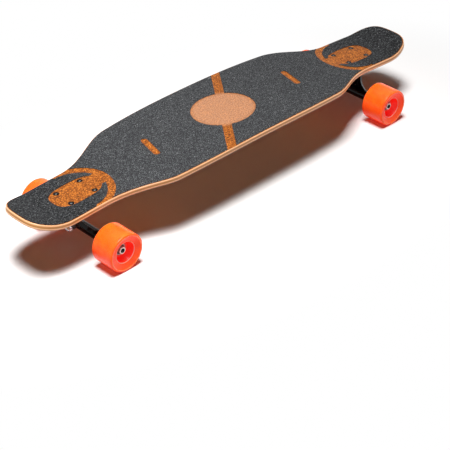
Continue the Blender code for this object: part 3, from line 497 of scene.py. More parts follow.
def core_material():
    """The wheel's hard core, deeper in colour, with a moulded grain and a faint red glow of painted light."""
    n = Finish("wheel_core", rough=0.35, colour=(0.80, 0.06, 0.012))
    local = n.kept("local")
    n.link(n.patches(local, 160.0, (0.72, 0.050, 0.010), (0.86, 0.080, 0.016)), "Base Color")
    n.bump(n.noise(local, 1200.0, detail=2.0), 0.00002, 0.4)
    n.set(subsurface_weight=0.2, subsurface_radius=(0.010, 0.003, 0.001), subsurface_scale=0.4)
    # The red emission is painted light: the core glows though it is no lamp.
    n.set(emission_color=(1.0, 0.010, 0.012, 1.0), emission_strength=0.25)
    return n.material


def cast_material():
    """Gloss black paint over cast metal: faint orange peel and softer patches."""
    n = Finish("gloss_black_casting", rough=0.24, colour=(0.010, 0.010, 0.011))
    spot = n.where()
    shade = n.patches(spot, 240.0, (0.002, 0.002, 0.0022), (0.006, 0.006, 0.0065), detail=4.0)
    n.link(shade, "Base Color")
    n.link(n.patches(spot, 90.0, 0.12, 0.20, detail=4.0), "Roughness")
    n.bump(n.noise(spot, 420.0, detail=2.0), 0.00003, 0.3)
    n.set(specular_ior_level=0.18)
    return n.material


def steel_material(name, colour, rough, spread):
    """Plated or polished steel with fine scratches and uneven polish."""
    n = Finish(name, rough=rough, metal=1.0, colour=colour)
    spot = n.where()
    dark = tuple(channel * 0.82 for channel in colour)
    n.link(n.patches(spot, 260.0, dark, colour), "Base Color")
    scratches = n.noise(n.stretch(spot, (300.0, 2200.0, 900.0)), 1.0)
    n.link(n.ramp(scratches, [(0.3, rough - spread), (0.7, rough + spread)]), "Roughness")
    n.bump(scratches, 0.00001, 0.4)
    return n.material


def rubber_material(name, rough, dark, pale, scale):
    """Satin black rubber or urethane with a faint bloom and a moulded grain."""
    n = Finish(name, rough=rough, colour=pale)
    spot = n.where()
    n.link(n.patches(spot, scale, dark, pale), "Base Color")
    n.bump(n.noise(spot, 3.0 * scale), 0.00003, 0.4)
    return n.material


MATERIALS = {
    "grip": grip_material(),
    "cork": cork_material(),
    "underside": underside_material(),
    "edge": edge_material(),
    "urethane": urethane_material(),
    "core": core_material(),
    "cast": cast_material(),
    "steel": steel_material("bright_steel", (0.66, 0.66, 0.68), 0.24, 0.08),
    "chrome": steel_material("chrome", (0.86, 0.86, 0.88), 0.20, 0.08),
    "zinc": steel_material("dull_zinc", (0.42, 0.41, 0.40), 0.48, 0.12),
    "nut_steel": steel_material("plated_nut", (0.66, 0.64, 0.60), 0.40, 0.10),
    "black_steel": steel_material("black_steel", (0.012, 0.012, 0.013), 0.28, 0.10),
    "bushing": rubber_material("bushing_urethane", 0.45, (0.011, 0.011, 0.012), (0.024, 0.024, 0.026), 300.0),
    "seal": rubber_material("bearing_seal", 0.50, (0.012, 0.012, 0.014), (0.030, 0.030, 0.033), 500.0),
}


# Mesh tools


def add_object(name, data):
    """A new object in the scene."""
    made = bpy.data.objects.new(name, data)
    bpy.context.scene.collection.objects.link(made)
    return made


def add_mesh(name, bm):
    """A new mesh object from a bmesh."""
    mesh = bpy.data.meshes.new(name)
    bm.to_mesh(mesh)
    bm.free()
    return add_object(name, mesh)


def placed(spot, *axes):
    """The matrix of a frame at a spot, from its three axes."""
    return Matrix.Translation(spot) @ Matrix(axes).transposed().to_4x4()


def finish_mesh(bm, name, materials, angle=35.0):
    """A linked object from a bmesh, faces out, smooth across its soft edges."""
    bmesh.ops.recalc_face_normals(bm, faces=bm.faces)
    made = add_mesh(name, bm)
    for key in materials:
        made.data.materials.append(MATERIALS[key])
    smooth(made, angle)
    return made


def smooth(item, angle=35.0):
    """Shades a piece smooth except across its sharp edges."""
    item.data.shade_smooth()
    item.data.set_sharp_from_angle(angle=math.radians(angle))


def keep_points(item, name):
    """Stores where each point lies now, for the materials."""
    stored = item.data.attributes.new(name, "FLOAT_VECTOR", "POINT")
    for place, vert in zip(stored.data, item.data.vertices):
        place.vector = vert.co


def turned(name, key, profile, segments, matrix=Matrix(), closed=False, angle=35.0):
    """Spins a profile of (radius, height) points about Z and puts it in place."""
    bm = bmesh.new()
    verts = [bm.verts.new((radius, 0.0, height)) for radius, height in profile]
    edges = [bm.edges.new(pair) for pair in zip(verts, verts[1:])]
    if closed:
        edges.append(bm.edges.new((verts[-1], verts[0])))
    bmesh.ops.spin(
        bm, geom=verts + edges, cent=(0, 0, 0), axis=(0, 0, 1), angle=math.tau, steps=segments, use_merge=True
    )
    bmesh.ops.remove_doubles(bm, verts=bm.verts, dist=1e-6)
    made = finish_mesh(bm, name, [key], angle)
    keep_points(made, "local")
    made.data.transform(matrix)
    return made


def prism(name, key, outline, low, high, bevel=0.0):
    """Extrudes a flat outline, with rounded edges where asked."""
    bm = bmesh.new()
    face = bm.faces.new([bm.verts.new((x, y, low)) for x, y in outline])
    raised = bmesh.ops.extrude_face_region(bm, geom=[face])["geom"]
    corners = [item for item in raised if isinstance(item, bmesh.types.BMVert)]
    bmesh.ops.translate(bm, verts=corners, vec=(0, 0, high - low))
    if bevel:
        bmesh.ops.bevel(
            bm, geom=list(bm.edges), offset=bevel, segments=3, profile=0.5, affect="EDGES", clamp_overlap=True
        )
    return finish_mesh(bm, name, [key])


def ellipse(length, width, segments, squareness=2.0):
    """Points round an ellipse along X, squarer for a squareness above 2."""
    points = []
    for index in range(segments):
        angle = math.tau * index / segments
        shares = [math.cos(angle), math.sin(angle)]
        x, y = (math.copysign(abs(share) ** (2 / squareness), share) for share in shares)
        points.append((length / 2 * x, width / 2 * y))
    return points


def rectangle(x_low, x_high, y_low, y_high):
    """The corners of a rectangle."""
    return [(x_low, y_low), (x_high, y_low), (x_high, y_high), (x_low, y_high)]


def mirrored(profile):
    """A profile and its mirror image below."""
    return profile + [(radius, -height) for radius, height in reversed(profile)]


def beside(radius, height, *offsets):
    """Profile points from their distances to a corner."""
    return [(radius + out, height + up) for out, up in offsets]


def apply_modifiers(item):
    """Replaces a piece's mesh by what its modifiers make of it."""
    graph = bpy.context.evaluated_depsgraph_get()
    result = bpy.data.meshes.new_from_object(item.evaluated_get(graph))
    item.modifiers.clear()
    item.data = result


def cut(item, *cutters, operation="DIFFERENCE"):
    """Takes shapes out of a piece, or keeps only what lies in them."""
    for cutter in cutters:
        step = item.modifiers.new("cut", "BOOLEAN")
        step.operation = operation
        step.solver = "EXACT"
        step.object = cutter
        apply_modifiers(item)
        bpy.data.objects.remove(cutter, do_unlink=True)


def arc(centre, radius, start, end, steps):
    """Profile points round an arc, angles in degrees."""
    angles = [math.radians(start + (end - start) * index / steps) for index in range(steps + 1)]
    return beside(*centre, *((radius * math.cos(angle), radius * math.sin(angle)) for angle in angles))


def thread(crest, depth, height, pitch, stop):
    """Profile points along a thread, up or down as its pitch says, until it passes the stop."""
    points = [(crest, height)]
    while (stop - height) * pitch > 0.0:
        points += [(crest - depth, height + pitch / 2), (crest, height + pitch)]
        height += pitch
    return points


def finish_piece(item, body, slot, *nodes):
    """Puts a made piece on its body, in place of the frame's nodes."""
    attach(item, body)
    if nodes:
        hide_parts(*nodes)


def add_turned(name, key, profile, segments, place, body, slot, *nodes, closed=True, angle=35.0):
    """Turns a piece and puts it on its body."""
    finish_piece(turned(name, key, profile, segments, place, closed, angle), body, slot, *nodes)


# Deck shape


def hermite(start, end, start_slope, end_slope, x_start, x_end, x):
    """A smooth curve between two heights with the given slopes at its ends."""
    span = x_end - x_start
    t = (x - x_start) / span
    height = (2 * t**3 - 3 * t**2 + 1) * start + (3 * t**2 - 2 * t**3) * end
    return height + (t**3 - 2 * t**2 + t) * span * start_slope + (t**3 - t**2) * span * end_slope


def top_height(x):
    """Height of the deck's top along its middle."""
    reach = abs(x)
    slope = -math.tan(TILT)
    inner = PATTERN_X - PLATFORM_INBOARD
    outer = PATTERN_X + PLATFORM_OUTBOARD
    if reach < CAMBER_END:
        return TOP_Z + CAMBER_RISE - reach**2 / (2 * CAMBER_RADIUS)
    if reach < inner:
        start = TOP_Z + CAMBER_RISE - CAMBER_END**2 / (2 * CAMBER_RADIUS)
        edge = TOP_Z + slope * (inner - PATTERN_X)
        return hermite(start, edge, -CAMBER_END / CAMBER_RADIUS, slope, CAMBER_END, inner, reach)
    if reach <= outer:
        return TOP_Z + slope * (reach - PATTERN_X)
    edge = TOP_Z + slope * (outer - PATTERN_X)
    kick = math.tan(math.radians(TIP_KICK_ANGLE))
    return hermite(edge, TOP_Z + TIP_KICK, slope, kick, outer, HALF_LENGTH, reach)


def bend(item):
    """Bends a flat piece onto the deck."""
    keep_points(item, "flat")
    probe = 1e-4
    for vert in item.data.vertices:
        x, y, height = vert.co
        rise = (top_height(x + probe) - top_height(x - probe)) / (2 * probe)
        length = math.hypot(1.0, rise)
        vert.co = (x - height * rise / length, y, top_height(x) + height / length)
    item.data.update()
    smooth(item)


def half_width(x):
    """Half the deck's width."""
    reach = abs(x)
    neck = NECK_WIDTH / 2
    belly = DECK_WIDTH / 2 - BELLY_TAPER * (reach / BELLY_TAPER_AT) ** BELLY_TAPER_POWER
    t = min(max((reach - SHOULDER_START) / SHOULDER_LENGTH, 0.0), 1.0)
    width = neck + (belly - neck) * (1.0 - t * t * (3.0 - 2.0 * t))
    cap = (reach - HALF_LENGTH + TIP_ROUND_LENGTH) / TIP_ROUND_LENGTH
    if cap > 0.0:
        width *= max(1.0 - cap**TIP_SQUARENESS, 0.0) ** (1.0 / TIP_SQUARENESS)
    return width


def deck_side():
    """The deck's edge on its +Y side, from the nose to the tail."""
    straight = HALF_LENGTH - TIP_ROUND_LENGTH
    count = round(2 * straight / FINE_STEP)
    middle = [-straight + 2 * straight * index / count for index in range(count + 1)]
    turns = [math.pi / 2 * (index + 1) / TIP_STEPS for index in range(TIP_STEPS)]
    tail = [straight + TIP_ROUND_LENGTH * math.sin(turn) for turn in turns]
    nose = [-x for x in reversed(tail)]
    return [(x, half_width(x)) for x in nose + middle + tail]


def inset(points, distance):
    """Moves a +Y side line towards the middle, square to itself, keeping its ends on Y = 0."""
    moved = []
    for index, point in enumerate(points):
        before = points[index - 1] if index else (point[0], -points[1][1])
        after = points[index + 1] if index + 1 < len(points) else (point[0], -points[-2][1])
        along = Vector((after[0] - before[0], after[1] - before[1])).normalized()
        x = point[0] + along.y * distance
        y = point[1] - along.x * distance
        moved.append((x, max(y, 0.0) if 0 < index < len(points) - 1 else 0.0))
    return moved


def slab(name, materials, rings):
    """A symmetric plate from (side points, height) rings, listed from top to bottom."""
    bm = bmesh.new()
    loops = []
    for side, height in rings:
        upper = [bm.verts.new((x, y, height)) for x, y in side]
        lower = [vert if abs(y) < 1e-9 else bm.verts.new((x, -y, height))
                 for vert, (x, y) in zip(upper, side)]
        loops.append((upper, lower))
    for upper, lower in (loops[0], loops[-1]):
        for a, b, c, d in zip(upper, upper[1:], lower[1:], lower):
            bm.faces.new(list(dict.fromkeys((a, b, c, d))))
    for (high_up, high_low), (low_up, low_low) in zip(loops, loops[1:]):
        for high, low in ((high_up, low_up), (high_low, low_low)):
            for a, b, c, d in zip(high, high[1:], low[1:], low):
                bm.faces.new((a, b, c, d))
        for end in (0, -1):
            if high_up[end] is not high_low[end]:
                bm.faces.new((high_up[end], high_low[end], low_low[end], low_up[end]))
    return finish_mesh(bm, name, materials)


def bolt_places():
    """The four bolts of a truck, in its own frame."""
    along = BOLT_SPACING_ALONG / 2
    across = BOLT_SPACING_ACROSS / 2
    return [(along, across), (along, -across), (-along, across), (-along, -across)]


def deck_holes():
    """Where the bolts pass through the flat deck."""
    return [Vector((end * PATTERN_X + along * math.cos(TILT), across))
            for end in (-1, 1) for along, across in bolt_places()]


def paint_deck(deck):
    """Gives the flat deck's top, edge and underside their own materials, cork also in the countersinks."""
    cork, edge, underside = 0, 1, 2
    holes = deck_holes()
    for face in deck.data.polygons:
        away = min((face.center.xy - hole).length for hole in holes)
        up, height = face.normal.z, face.center.z
        if (up > 0.3 and away < BOLT_HEAD_RADIUS + 0.001) or (up > 0.95 and height > -0.0002):
            face.material_index = cork
        elif up < -0.95 and height < 0.0002 - DECK_THICKNESS:
            face.material_index = underside
        else:
            face.material_index = edge


def make_deck():
    """The laminated deck, its rounded edge and its countersunk holes."""
    side = deck_side()
    rings = []
    for index in range(EDGE_STEPS + 1):
        turn = math.pi / 2 * index / EDGE_STEPS
        rings.append((inset(side, EDGE_ROUND * (1 - math.sin(turn))), EDGE_ROUND * (math.cos(turn) - 1)))
    rings += [(points, -DECK_THICKNESS - height) for points, height in reversed(rings)]
    deck = slab("laminated_deck", ["cork", "edge", "underside"], rings)
    low = -DECK_THICKNESS - CUT_PAST
    hole = BOLT_RADIUS + GAP
    mouth = BOLT_HEAD_RADIUS + BOLT_HEAD_SUNK + GAP
    profile = [(0.0, CUT_PAST), (mouth + CUT_PAST, CUT_PAST), (hole, hole - mouth), (hole, low), (0.0, low)]
    for spot in deck_holes():
        cut(deck, turned("cutter", "edge", profile, 32, Matrix.Translation(spot.to_3d())))
    paint_deck(deck)
    bend(deck)
    finish_piece(deck, "deck", "deck_wood", "deck")


# Grip


def through_grip(outline, x, turn=0.0):
    """A cutter that passes through a grip sheet at the given place."""
    cutter = prism("cutter", "grip", outline, -0.003, 0.006)
    cutter.data.transform(Matrix.Translation((x, 0.0, 0.0)) @ Matrix.Rotation(turn, 4, "Z"))
    return cutter


def lay_grip(name, side, cutters, node, end):
    """Makes a sheet from its side points, cuts it out, and lays it on its end of the deck."""
    sheet = slab(name, ["grip"], [(side, GRIP_THICKNESS), (side, HAIR)])
    cut(sheet, *cutters)
    if end > 0:
        sheet.data.transform(Matrix.Rotation(math.pi, 4, "Z"))
    bend(sheet)
    finish_piece(sheet, "deck", "grip", node)


def end_grip(name, node, end):
    """The sheet over one tip, with its round end and its window over the bolts."""
    ring = RING_INNER_RADIUS
    neck = WINDOW_NECK_WIDTH / 2
    inner = arc((-PATTERN_X, 0.0), ring, 90, 0, RING_ARC_STEPS)
    side = [point for point in inset(deck_side(), GRIP_MARGIN) if point[0] < inner[0][0] - FINE_STEP / 4]
    cutters = [
        through_grip(ellipse(WINDOW_LENGTH, WINDOW_WIDTH, WINDOW_STEPS, WINDOW_SQUARENESS), -PATTERN_X),
        through_grip(rectangle(0.0, 2 * ring, -neck, neck), -PATTERN_X),
    ]
    lay_grip(name, side + inner, cutters, node, end)


def middle_grip(name, node, end):
    """The sheet between one truck and the middle, with its slot and its diagonal end."""
    side = [point for point in inset(deck_side(), GRIP_MARGIN) if -PATTERN_X < point[0] < DECK_WIDTH / 2]
    beyond = rectangle(-BAND_WIDTH / 2, DECK_LENGTH, -DECK_LENGTH, DECK_LENGTH)
    ring = 2 * (RING_INNER_RADIUS + RING_WIDTH)
    half = SLOT_WIDTH / 2
    reach = SLOT_LENGTH / 2 - half
    slot = arc((reach, 0.0), half, -90, 90, SLOT_STEPS) + arc((-reach, 0.0), half, 90, 270, SLOT_STEPS)
    cutters = [
        through_grip(beyond, 0.0, math.radians(BAND_ANGLE) - math.pi / 2),
        through_grip(ellipse(OVAL_LENGTH, OVAL_WIDTH, OVAL_STEPS), 0.0),
        through_grip(ellipse(ring, ring, RING_STEPS), -PATTERN_X),
        through_grip(slot, -SLOT_FROM_MIDDLE, math.radians(SLOT_ANGLE)),
    ]
    lay_grip(name, side, cutters, node, end)


# Trucks


def truck_matrix(end):
    """Where a truck's frame lies: end is -1 at the nose and 1 at the tail."""
    outboard = Vector((end * math.cos(TILT), 0.0, -math.sin(TILT)))
    normal = Vector((end * math.sin(TILT), 0.0, math.cos(TILT)))
    x = end * (PATTERN_X - DECK_THICKNESS * math.sin(TILT))
    return placed((x, 0.0, UNDERSIDE_Z), outboard, normal.cross(outboard), normal)


def kingpin_matrix(label, end):
    """Z along the kingpin towards its nut, with the origin in the hanger's ring."""
    joint = JOINTS[label + "_steer"]
    axis = Vector(joint["axis"]).normalized()
    ring = Vector(joint["pos_m"]) - axis * PIVOT_TO_KINGPIN
    across = Vector((0.0, float(end), 0.0))
    return placed(ring, -axis, across, across.cross(axis))


def casting(node, body, voxel, rounds):
    """A softly rounded casting made from a frame node."""
    mesh = frame["nodes"][node].data.copy()
    mesh.materials.clear()
    made = add_object("cast_" + node, mesh)
    remesh = made.modifiers.new("remesh", "REMESH")
    remesh.mode = "VOXEL"
    remesh.voxel_size = voxel
    relax = made.modifiers.new("relax", "SMOOTH")
    relax.factor = 0.5
    relax.iterations = rounds
    apply_modifiers(made)
    made.data.materials.append(MATERIALS["cast"])
    made.data.shade_smooth()
    finish_piece(made, body, "cast_black", node)


def hex_nut(name, key, across_flats, low, height, bore, place, body, slot, node):
    """A hexagon nut with chamfered corners and a bore, put on its body."""
    corner = across_flats / math.sqrt(3)
    top = low + height
    above = top + 2 * CUT_PAST
    below = low - 2 * CUT_PAST
    nut = prism(name, key, ellipse(2 * corner, 2 * corner, 6), low, top, across_flats * 0.03)
    dome = [(0.0, below), (corner * 1.2, below), (corner * 1.2, top - corner * 0.42),
            (corner * 0.86, top - 0.0001), (corner * 0.80, above), (0.0, above)]
    cut(nut, turned("dome", key, dome, 48), operation="INTERSECT")
    hole = [(0.0, below), (bore, below), (bore, top - 0.0006), (bore + 0.0026, above), (0.0, above)]
    cut(nut, turned("cutter", key, hole, 32))
    smooth(nut, 30.0)
    nut.data.transform(place)
    finish_piece(nut, body, slot, node)


def bolt_profile(top):
    """A countersunk bolt's section, with a thread below the baseplate."""
    crown = BOLT_HEAD_RADIUS
    tip = top - BOLT_LENGTH
    profile = [(0.0, top - 0.0001)]
    profile += beside(crown, top, (-0.0009, -0.0001), (-0.0003, -0.0002), (0.0, -0.0005))
    profile += [(BOLT_RADIUS, top - 0.0003 - crown + BOLT_RADIUS)]
    profile += thread(BOLT_RADIUS, BOLT_PITCH / 2, -BASE_THICKNESS, -BOLT_PITCH, tip + BOLT_PITCH)
    return profile + [(BOLT_RADIUS - 0.0006, tip), (0.0, tip)]


def make_bolts(label, end):
    """The deck bolts with their sockets, and the locknuts with their nylon collars."""
    place = truck_matrix(end)
    top = DECK_THICKNESS - BOLT_HEAD_SUNK
    floor = top - SOCKET_DEPTH
    socket = ellipse(2 * SOCKET_RADIUS, 2 * SOCKET_RADIUS, 6)
    seat = -BASE_THICKNESS - 2 * GAP
    low = seat - LOCKNUT_HEIGHT
    high = low + COLLAR_HEIGHT
    bore = BOLT_RADIUS + GAP / 2
    nut_turn = Matrix.Translation((0.0, 0.0, seat)) @ Matrix.Rotation(math.pi, 4, "X")
    rim = COLLAR_RADIUS
    collar = [(bore, high), (rim, high), (rim - 0.0001, low + 0.0003), (rim - 0.0005, low), (bore, low)]
    for index, (along, across) in enumerate(bolt_places(), start=1):
        which = "_%s_%d" % (label, index)
        spot = place @ Matrix.Translation((along, across, 0.0))
        bolt = turned("deck_bolt" + which, "black_steel", bolt_profile(top), 32)
        cut(bolt, prism("cutter", "black_steel", socket, floor, top + CUT_PAST))
        smooth(bolt, 30.0)
        bolt.data.materials.append(MATERIALS["zinc"])
        for face in bolt.data.polygons:
            if face.normal.z > 0.9 and abs(face.center.z - floor) < 0.0001:
                face.material_index = 1
        bolt.data.transform(spot)
        finish_piece(bolt, "deck", "black_steel", "bolt" + which)
        hex_nut("deck_nut" + which, "black_steel", LOCKNUT_ACROSS_FLATS, 0.0, LOCKNUT_HEX_HEIGHT, bore,
                spot @ nut_turn, "deck", "black_steel", "locknut" + which)
        add_turned("nut_collar" + which, "bushing", collar, 24, spot, "deck", "bushing")


def make_kingpin(label, end):
    """Kingpin with its nut, its washers and its bushings."""
    place = kingpin_matrix(label, end)
    nut_face = HANGER_HALF_THICKNESS + CONE_LENGTH + 2 * GAP
    washer_top = nut_face + KINGPIN_WASHER_THICKNESS
    tip = washer_top + KINGPIN_NUT_HEIGHT + KINGPIN_TIP
    cup_low = -HANGER_HALF_THICKNESS - SEAT_DEPTH - BARREL_LENGTH - CUP_WASHER_HEIGHT
    head = cup_low - TOWER_DEPTH - 2 * GAP
    end_face = head - KINGPIN_HEAD_HEIGHT
    rim = KINGPIN_HEAD_RADIUS
    pin = [(0.0, end_face), (rim - 0.0008, end_face), (rim, end_face + 0.0008), (rim, head)]
    pin += [(KINGPIN_RADIUS, head)]
    pin += thread(KINGPIN_RADIUS, THREAD_DEPTH, nut_face, THREAD_PITCH, tip - KINGPIN_TIP + 0.0002)
    pin += [(KINGPIN_RADIUS - 0.0012, tip), (0.0, tip)]
    add_turned("kingpin_bolt_" + label, "steel", pin, 40, place, "deck", "bright_steel",
               "kingpin_" + label, closed=False, angle=25.0)
    bore = KINGPIN_RADIUS + GAP / 3
    hex_nut("kingpin_locknut_" + label, "chrome", KINGPIN_NUT_ACROSS_FLATS, washer_top + HAIR,
            KINGPIN_NUT_HEIGHT, bore, place, "deck", "bright_steel", "kingpin_nut_" + label)
    bore = KINGPIN_RADIUS + GAP / 2
    rim = KINGPIN_WASHER_RADIUS
    dish = [(bore, nut_face), *beside(rim, nut_face, (-0.0008, 0.0), (-0.0001, 0.0004), (0.0, 0.0010)),
            (rim - 0.0005, washer_top), (bore, washer_top)]
    add_turned("kingpin_washer_" + label, "chrome", dish, 48, place, "deck", "chrome")
    make_bushings(label, place, cup_low, nut_face)


def make_bushings(label, place, low, nut_face):
    """The cup washer, the board-side barrel, the road-side cone and the pivot cup's finish."""
    bore = KINGPIN_RADIUS + GAP
    rim = CUP_WASHER_RADIUS
    high = low + CUP_WASHER_HEIGHT
    cup = [(bore, low), *beside(rim, low, (-0.0007, 0.0), (0.0, 0.0006), (0.0, 0.0015)), (rim - 0.0004, high),
           (bore, high)]
    add_turned("cup_washer_fine_" + label, "chrome", cup, 48, place, "deck", "chrome", "cup_washer_" + label)
    low = high + GAP / 2
    high = -HANGER_HALF_THICKNESS - GAP / 2
    soft = BUSHING_ROUND
    rim = BARREL_RADIUS
    side = high - low - 2 * soft
    steps = 8
    barrel = [(bore, high)] + arc((rim - soft, high - soft), soft, 90, 0, 4)
    barrel += [(rim + 0.0006 * math.sin(math.pi * index / steps), high - soft - side * index / steps)
               for index in range(1, steps)]
    barrel += arc((rim - soft, low + soft), soft, 0, -90, 4) + [(bore, low)]
    add_turned("barrel_bushing_" + label, "bushing", barrel, 48, place, "deck", "bushing",
               "boardside_bushing_" + label)
    low = HANGER_HALF_THICKNESS + GAP / 2
    high = nut_face - GAP / 2
    cone = [(bore, low)] + arc((CONE_RADIUS - soft, low + soft), soft, -90, 0, 4)
    cone += [(CONE_RADIUS, low + 0.0035)] + arc((CONE_TOP_RADIUS - 0.0009, high - 0.0009), 0.0009, 15, 90, 4)
    add_turned("cone_bushing_" + label, "bushing", cone + [(bore, high)], 48, place, "deck", "bushing",
               "roadside_bushing_" + label)
    cup_materials = frame["nodes"]["pivot_cup_" + label].data.materials
    cup_materials.clear()
    cup_materials.append(MATERIALS["bushing"])


def make_axle(label):
    """The axle, threaded at both ends."""
    low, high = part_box("axle_" + label)
    half = (high.y - low.y) / 2
    profile = [(0.0, half - 0.0022), (0.0012, half - 0.0016), (0.0022, half), (AXLE_RADIUS - 0.0009, half)]
    profile += thread(AXLE_RADIUS - 0.00005, THREAD_DEPTH - 0.00005, half - 0.0005, -THREAD_PITCH,
                      half - AXLE_THREAD_LENGTH)
    place = Matrix.Translation((low + high) / 2) @ Matrix.Rotation(math.pi / 2, 4, "X")
    add_turned("threaded_axle_" + label, "black_steel", mirrored(profile), 40, place, label + "_hanger",
               "bright_steel", "axle_" + label, closed=False, angle=25.0)


# Wheels


def wheel_matrix(label):
    """Z out along the axle, with the origin in the middle of the core."""
    spot = Vector(JOINTS["wheel_%s_spin" % label]["pos_m"])
    outward = math.copysign(1.0, spot.y)
    return Matrix.Translation(spot) @ Matrix.Rotation(-outward * math.pi / 2, 4, "X")


def tyre_profile():
    """The tyre's section: tread, rounded lips, beaded and dished outer face, and both bowls."""
    seat = CORE_RADIUS + GAP / 2
    core_face = BEARING_OUTER_FACE
    tread = TREAD_RADIUS
    outer = WHEEL_OUTER_REACH
    inner = -WHEEL_INNER_REACH
    bead = tread - FACE_BEAD_INSET
    lip = FACE_BEAD_INSET - 0.0016
    bowl = 0.0020
    points = beside(seat, core_face, (0.0, 0.0), (0.0004, 0.0004))
    points += beside(WHEEL_OUTER_MOUTH_RADIUS, outer - WHEEL_FACE_DISH, (-0.0006, -0.0014),
                     (-0.0001, -0.0004), (0.0002, 0.0), (0.0008, 0.0001), (0.0011, -0.0002), (0.0018, 0.0001))
    points += beside(bead, outer, (-0.0012, -0.0016), (-0.0006, -0.0014), (0.0, -0.0004), (0.0004, -0.0001),
                     (0.0009, 0.0), (0.0016, 0.0))
    points += arc((tread - lip, outer - lip), lip, 82, 6, 7)
    points += [(tread, outer - 0.0050), (tread, 0.0), (tread, inner + 0.0050)]
    points += arc((tread - lip, inner + lip), lip, -6, -82, 7) + [(bead, inner)]
    points += arc((WHEEL_INNER_MOUTH_RADIUS + bowl, inner + bowl), bowl, -90, -160, 5)
    return points + beside(seat, -core_face, (0.0004, -0.0004), (0.0, 0.0))


def make_bearing(label, which, place):
    """A bearing's two races and the seal between them."""
    body = "wheel_" + label
    end = "_%s_%s" % (which, label)
    low, high = BEARING_INNER_FACE, BEARING_OUTER_FACE
    wall = OUTER_RACE_BORE
    rim = BEARING_RADIUS
    race = [(wall, high - 0.0009), (wall, high), *beside(rim, high, (-0.0004, 0.0), (0.0, -0.0004)),
            *beside(rim, low, (0.0, 0.0004), (-0.0004, 0.0)), (wall, low), (wall, low + 0.0009)]
    add_turned("bearing_race" + end, "zinc", race, 64, place, body, "bright_steel",
               which + "_bearing_" + label)
    bore = AXLE_RADIUS + GAP / 2
    rim = INNER_RACE_RADIUS
    race = [(bore, low), (rim - 0.0002, low), (rim, low + 0.0004), (rim, high - 0.0004),
            (rim - 0.0002, high), (bore, high)]
    add_turned("bearing_bore" + end, "steel", race, 48, place, body, "bright_steel")
    seal = [(rim + 0.00005, low + 0.0008), (wall - 0.0001, low + 0.0008),
            *beside(wall, high, (-0.0001, -0.0007), (-0.0006, -0.0004)),
            *beside(rim, high, (0.0010, -0.0005), (0.0006, -0.0009), (0.00005, -0.0009))]
    add_turned("bearing_seal" + end, "seal", seal, 64, place, body, "bushing")


def make_wheel(label, hanger_body):
    """One wheel: tyre, core, bearings with seals, and its nut on the axle's end."""
    body = "wheel_" + label
    place = wheel_matrix(label)
    add_turned("wheel_tyre_" + label, "urethane", tyre_profile(), 128, place, body, "urethane",
               "tyre_" + label, angle=50.0)
    seat = BEARING_RADIUS + GAP / 2
    stop = BEARING_INNER_FACE - GAP / 2
    rim = CORE_RADIUS
    face = BEARING_OUTER_FACE
    core = [(CORE_STOP_RADIUS, stop), (seat, stop), (seat, face - 0.0004), (seat + 0.0004, face),
            (rim - 0.0003, face), (rim, face - 0.0003)]
    add_turned("wheel_core_" + label, "core", mirrored(core), 96, place, body, "wheel_core", "core_" + label)
    make_bearing(label, "inner", place @ Matrix.Rotation(math.pi, 4, "X"))
    make_bearing(label, "outer", place)
    bore = AXLE_RADIUS + GAP / 2
    rim = AXLE_WASHER_RADIUS
    low = face + GAP
    washer = rectangle(bore, rim, low - 0.0002, low + 0.0003)
    add_turned("axle_washer_" + label, "chrome", washer, 40, place, hanger_body, "bright_steel")
    hex_nut("wheel_nut_" + label, "nut_steel", AXLE_NUT_ACROSS_FLATS, low + 0.0004, AXLE_NUT_HEIGHT - 0.0006,
            AXLE_RADIUS + GAP / 3, place, hanger_body, "bright_steel", "axle_nut_" + label)


# Stage


def floor_material():
    """Pale floor: it takes the shadow near the board and reads plain white further out."""
    n = Finish("floor_white", rough=0.75, colour=(0.96, 0.955, 0.95))
    n.set(specular_ior_level=0.1)
    x, y, _ = n.split(n.where())
    far = n.radius(x, y, SHADED_HALF_LENGTH, SHADED_HALF_WIDTH)
    seen = n.background_ray()
    n.link(n.mix(seen, (0.40, 0.25, 0.18), (0.97, 0.965, 0.96)), "Base Color")
    white = n.new("ShaderNodeEmission", {"Color": WHITE, "Strength": 1.0}).outputs[0]
    n.output(n.times(n.step(far, 0.55, 1.0), seen), n.shader.outputs[0], white, "Material Output")
    return n.material


def make_floor():
    """A pale floor that reads white where light falls on it."""
    bm = bmesh.new()
    bmesh.ops.create_grid(bm, x_segments=1, y_segments=1, size=FLOOR_HALF_SIZE)
    floor = add_mesh("floor", bm)
    floor.data.materials.append(floor_material())


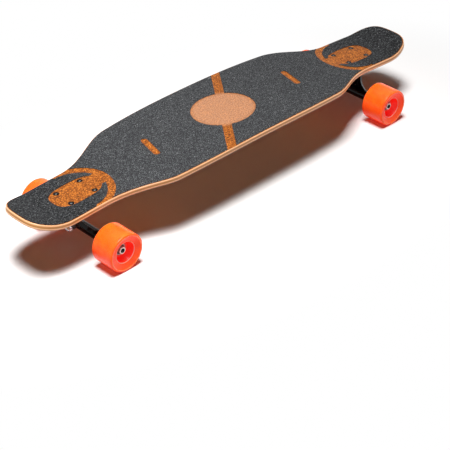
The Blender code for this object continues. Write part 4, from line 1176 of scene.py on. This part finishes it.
def make_light():
    """Two soft lamps in a low warm world that looks white."""
    world = bpy.data.worlds.new("studio")
    world.use_nodes = True
    bpy.context.scene.world = world
    n = Nodes(world.node_tree)
    warm = n.tree.nodes["Background"]
    warm.inputs["Color"].default_value = (1.0, 0.60, 0.42, 1.0)
    warm.inputs["Strength"].default_value = 0.026
    white = n.new("ShaderNodeBackground", {"Color": WHITE}).outputs[0]
    n.output(n.background_ray(), warm.outputs[0], white, "World Output")
    lamps = [
        ("softbox", (-0.75, -0.33, 4.4), (-0.9, 0.0, 0.05), (1.6, 1.4), 61.0, 75.0),
        ("side_strip", (-2.4, -1.9, 1.1), (0.0, 0.0, 0.05), (0.8, 1.6), 2.2, 180.0),
    ]
    for name, spot, aim, size, power, spread in lamps:
        data = bpy.data.lights.new(name, "AREA")
        data.shape = "RECTANGLE"
        data.size, data.size_y = size
        data.energy = power
        data.spread = math.radians(spread)
        lamp = add_object(name, data)
        lamp.location = spot
        lamp.rotation_mode = "QUATERNION"
        lamp.rotation_quaternion = (Vector(aim) - Vector(spot)).to_track_quat("-Z", "Y")


def make_camera():
    """The photograph's camera: seen from the nose's near side, from above."""
    azimuth, elevation, roll = math.radians(-44.869), math.radians(34.535), math.radians(0.243)
    distance, aim_height = 2.7663, 0.1
    pan_right, pan_up = 0.0036, -0.1956
    focal_pixels, frame_pixels, sensor = 1455.0, 450.0, 36.0
    level = math.cos(elevation)
    back = Vector((math.sin(azimuth) * level, -math.cos(azimuth) * level, math.sin(elevation)))
    right = (-back).cross(Vector((0, 0, 1))).normalized()
    up = right.cross(-back)
    rolled_right = right * math.cos(roll) + up * math.sin(roll)
    rolled_up = up * math.cos(roll) - right * math.sin(roll)
    data = bpy.data.cameras.new("camera")
    data.sensor_width = sensor
    data.lens = focal_pixels / frame_pixels * sensor
    data.clip_start, data.clip_end = 0.1, 50.0
    camera = add_object("camera", data)
    spot = Vector((0, 0, aim_height)) + back * distance + rolled_right * pan_right + rolled_up * pan_up
    camera.matrix_world = placed(spot, rolled_right, rolled_up, back)
    bpy.context.scene.camera = camera


def main():
    """Builds every piece's looks, then the stage and the camera."""
    make_deck()
    end_grip("grit_nose", "grip_nose", -1)
    middle_grip("grit_front", "grip_front", -1)
    middle_grip("grit_rear", "grip_rear", 1)
    end_grip("grit_tail", "grip_tail", 1)
    for label, end in (("front", -1), ("rear", 1)):
        casting("baseplate_" + label, "deck", BASE_VOXEL, BASE_ROUNDS)
        casting("hanger_" + label, label + "_hanger", HANGER_VOXEL, HANGER_ROUNDS)
        make_bolts(label, end)
        make_kingpin(label, end)
        make_axle(label)
        for side in ("a", "b"):
            make_wheel("%s_%s" % (label, side), label + "_hanger")
    make_floor()
    make_light()
    make_camera()
    bpy.context.scene.view_settings.view_transform = "Standard"


main()
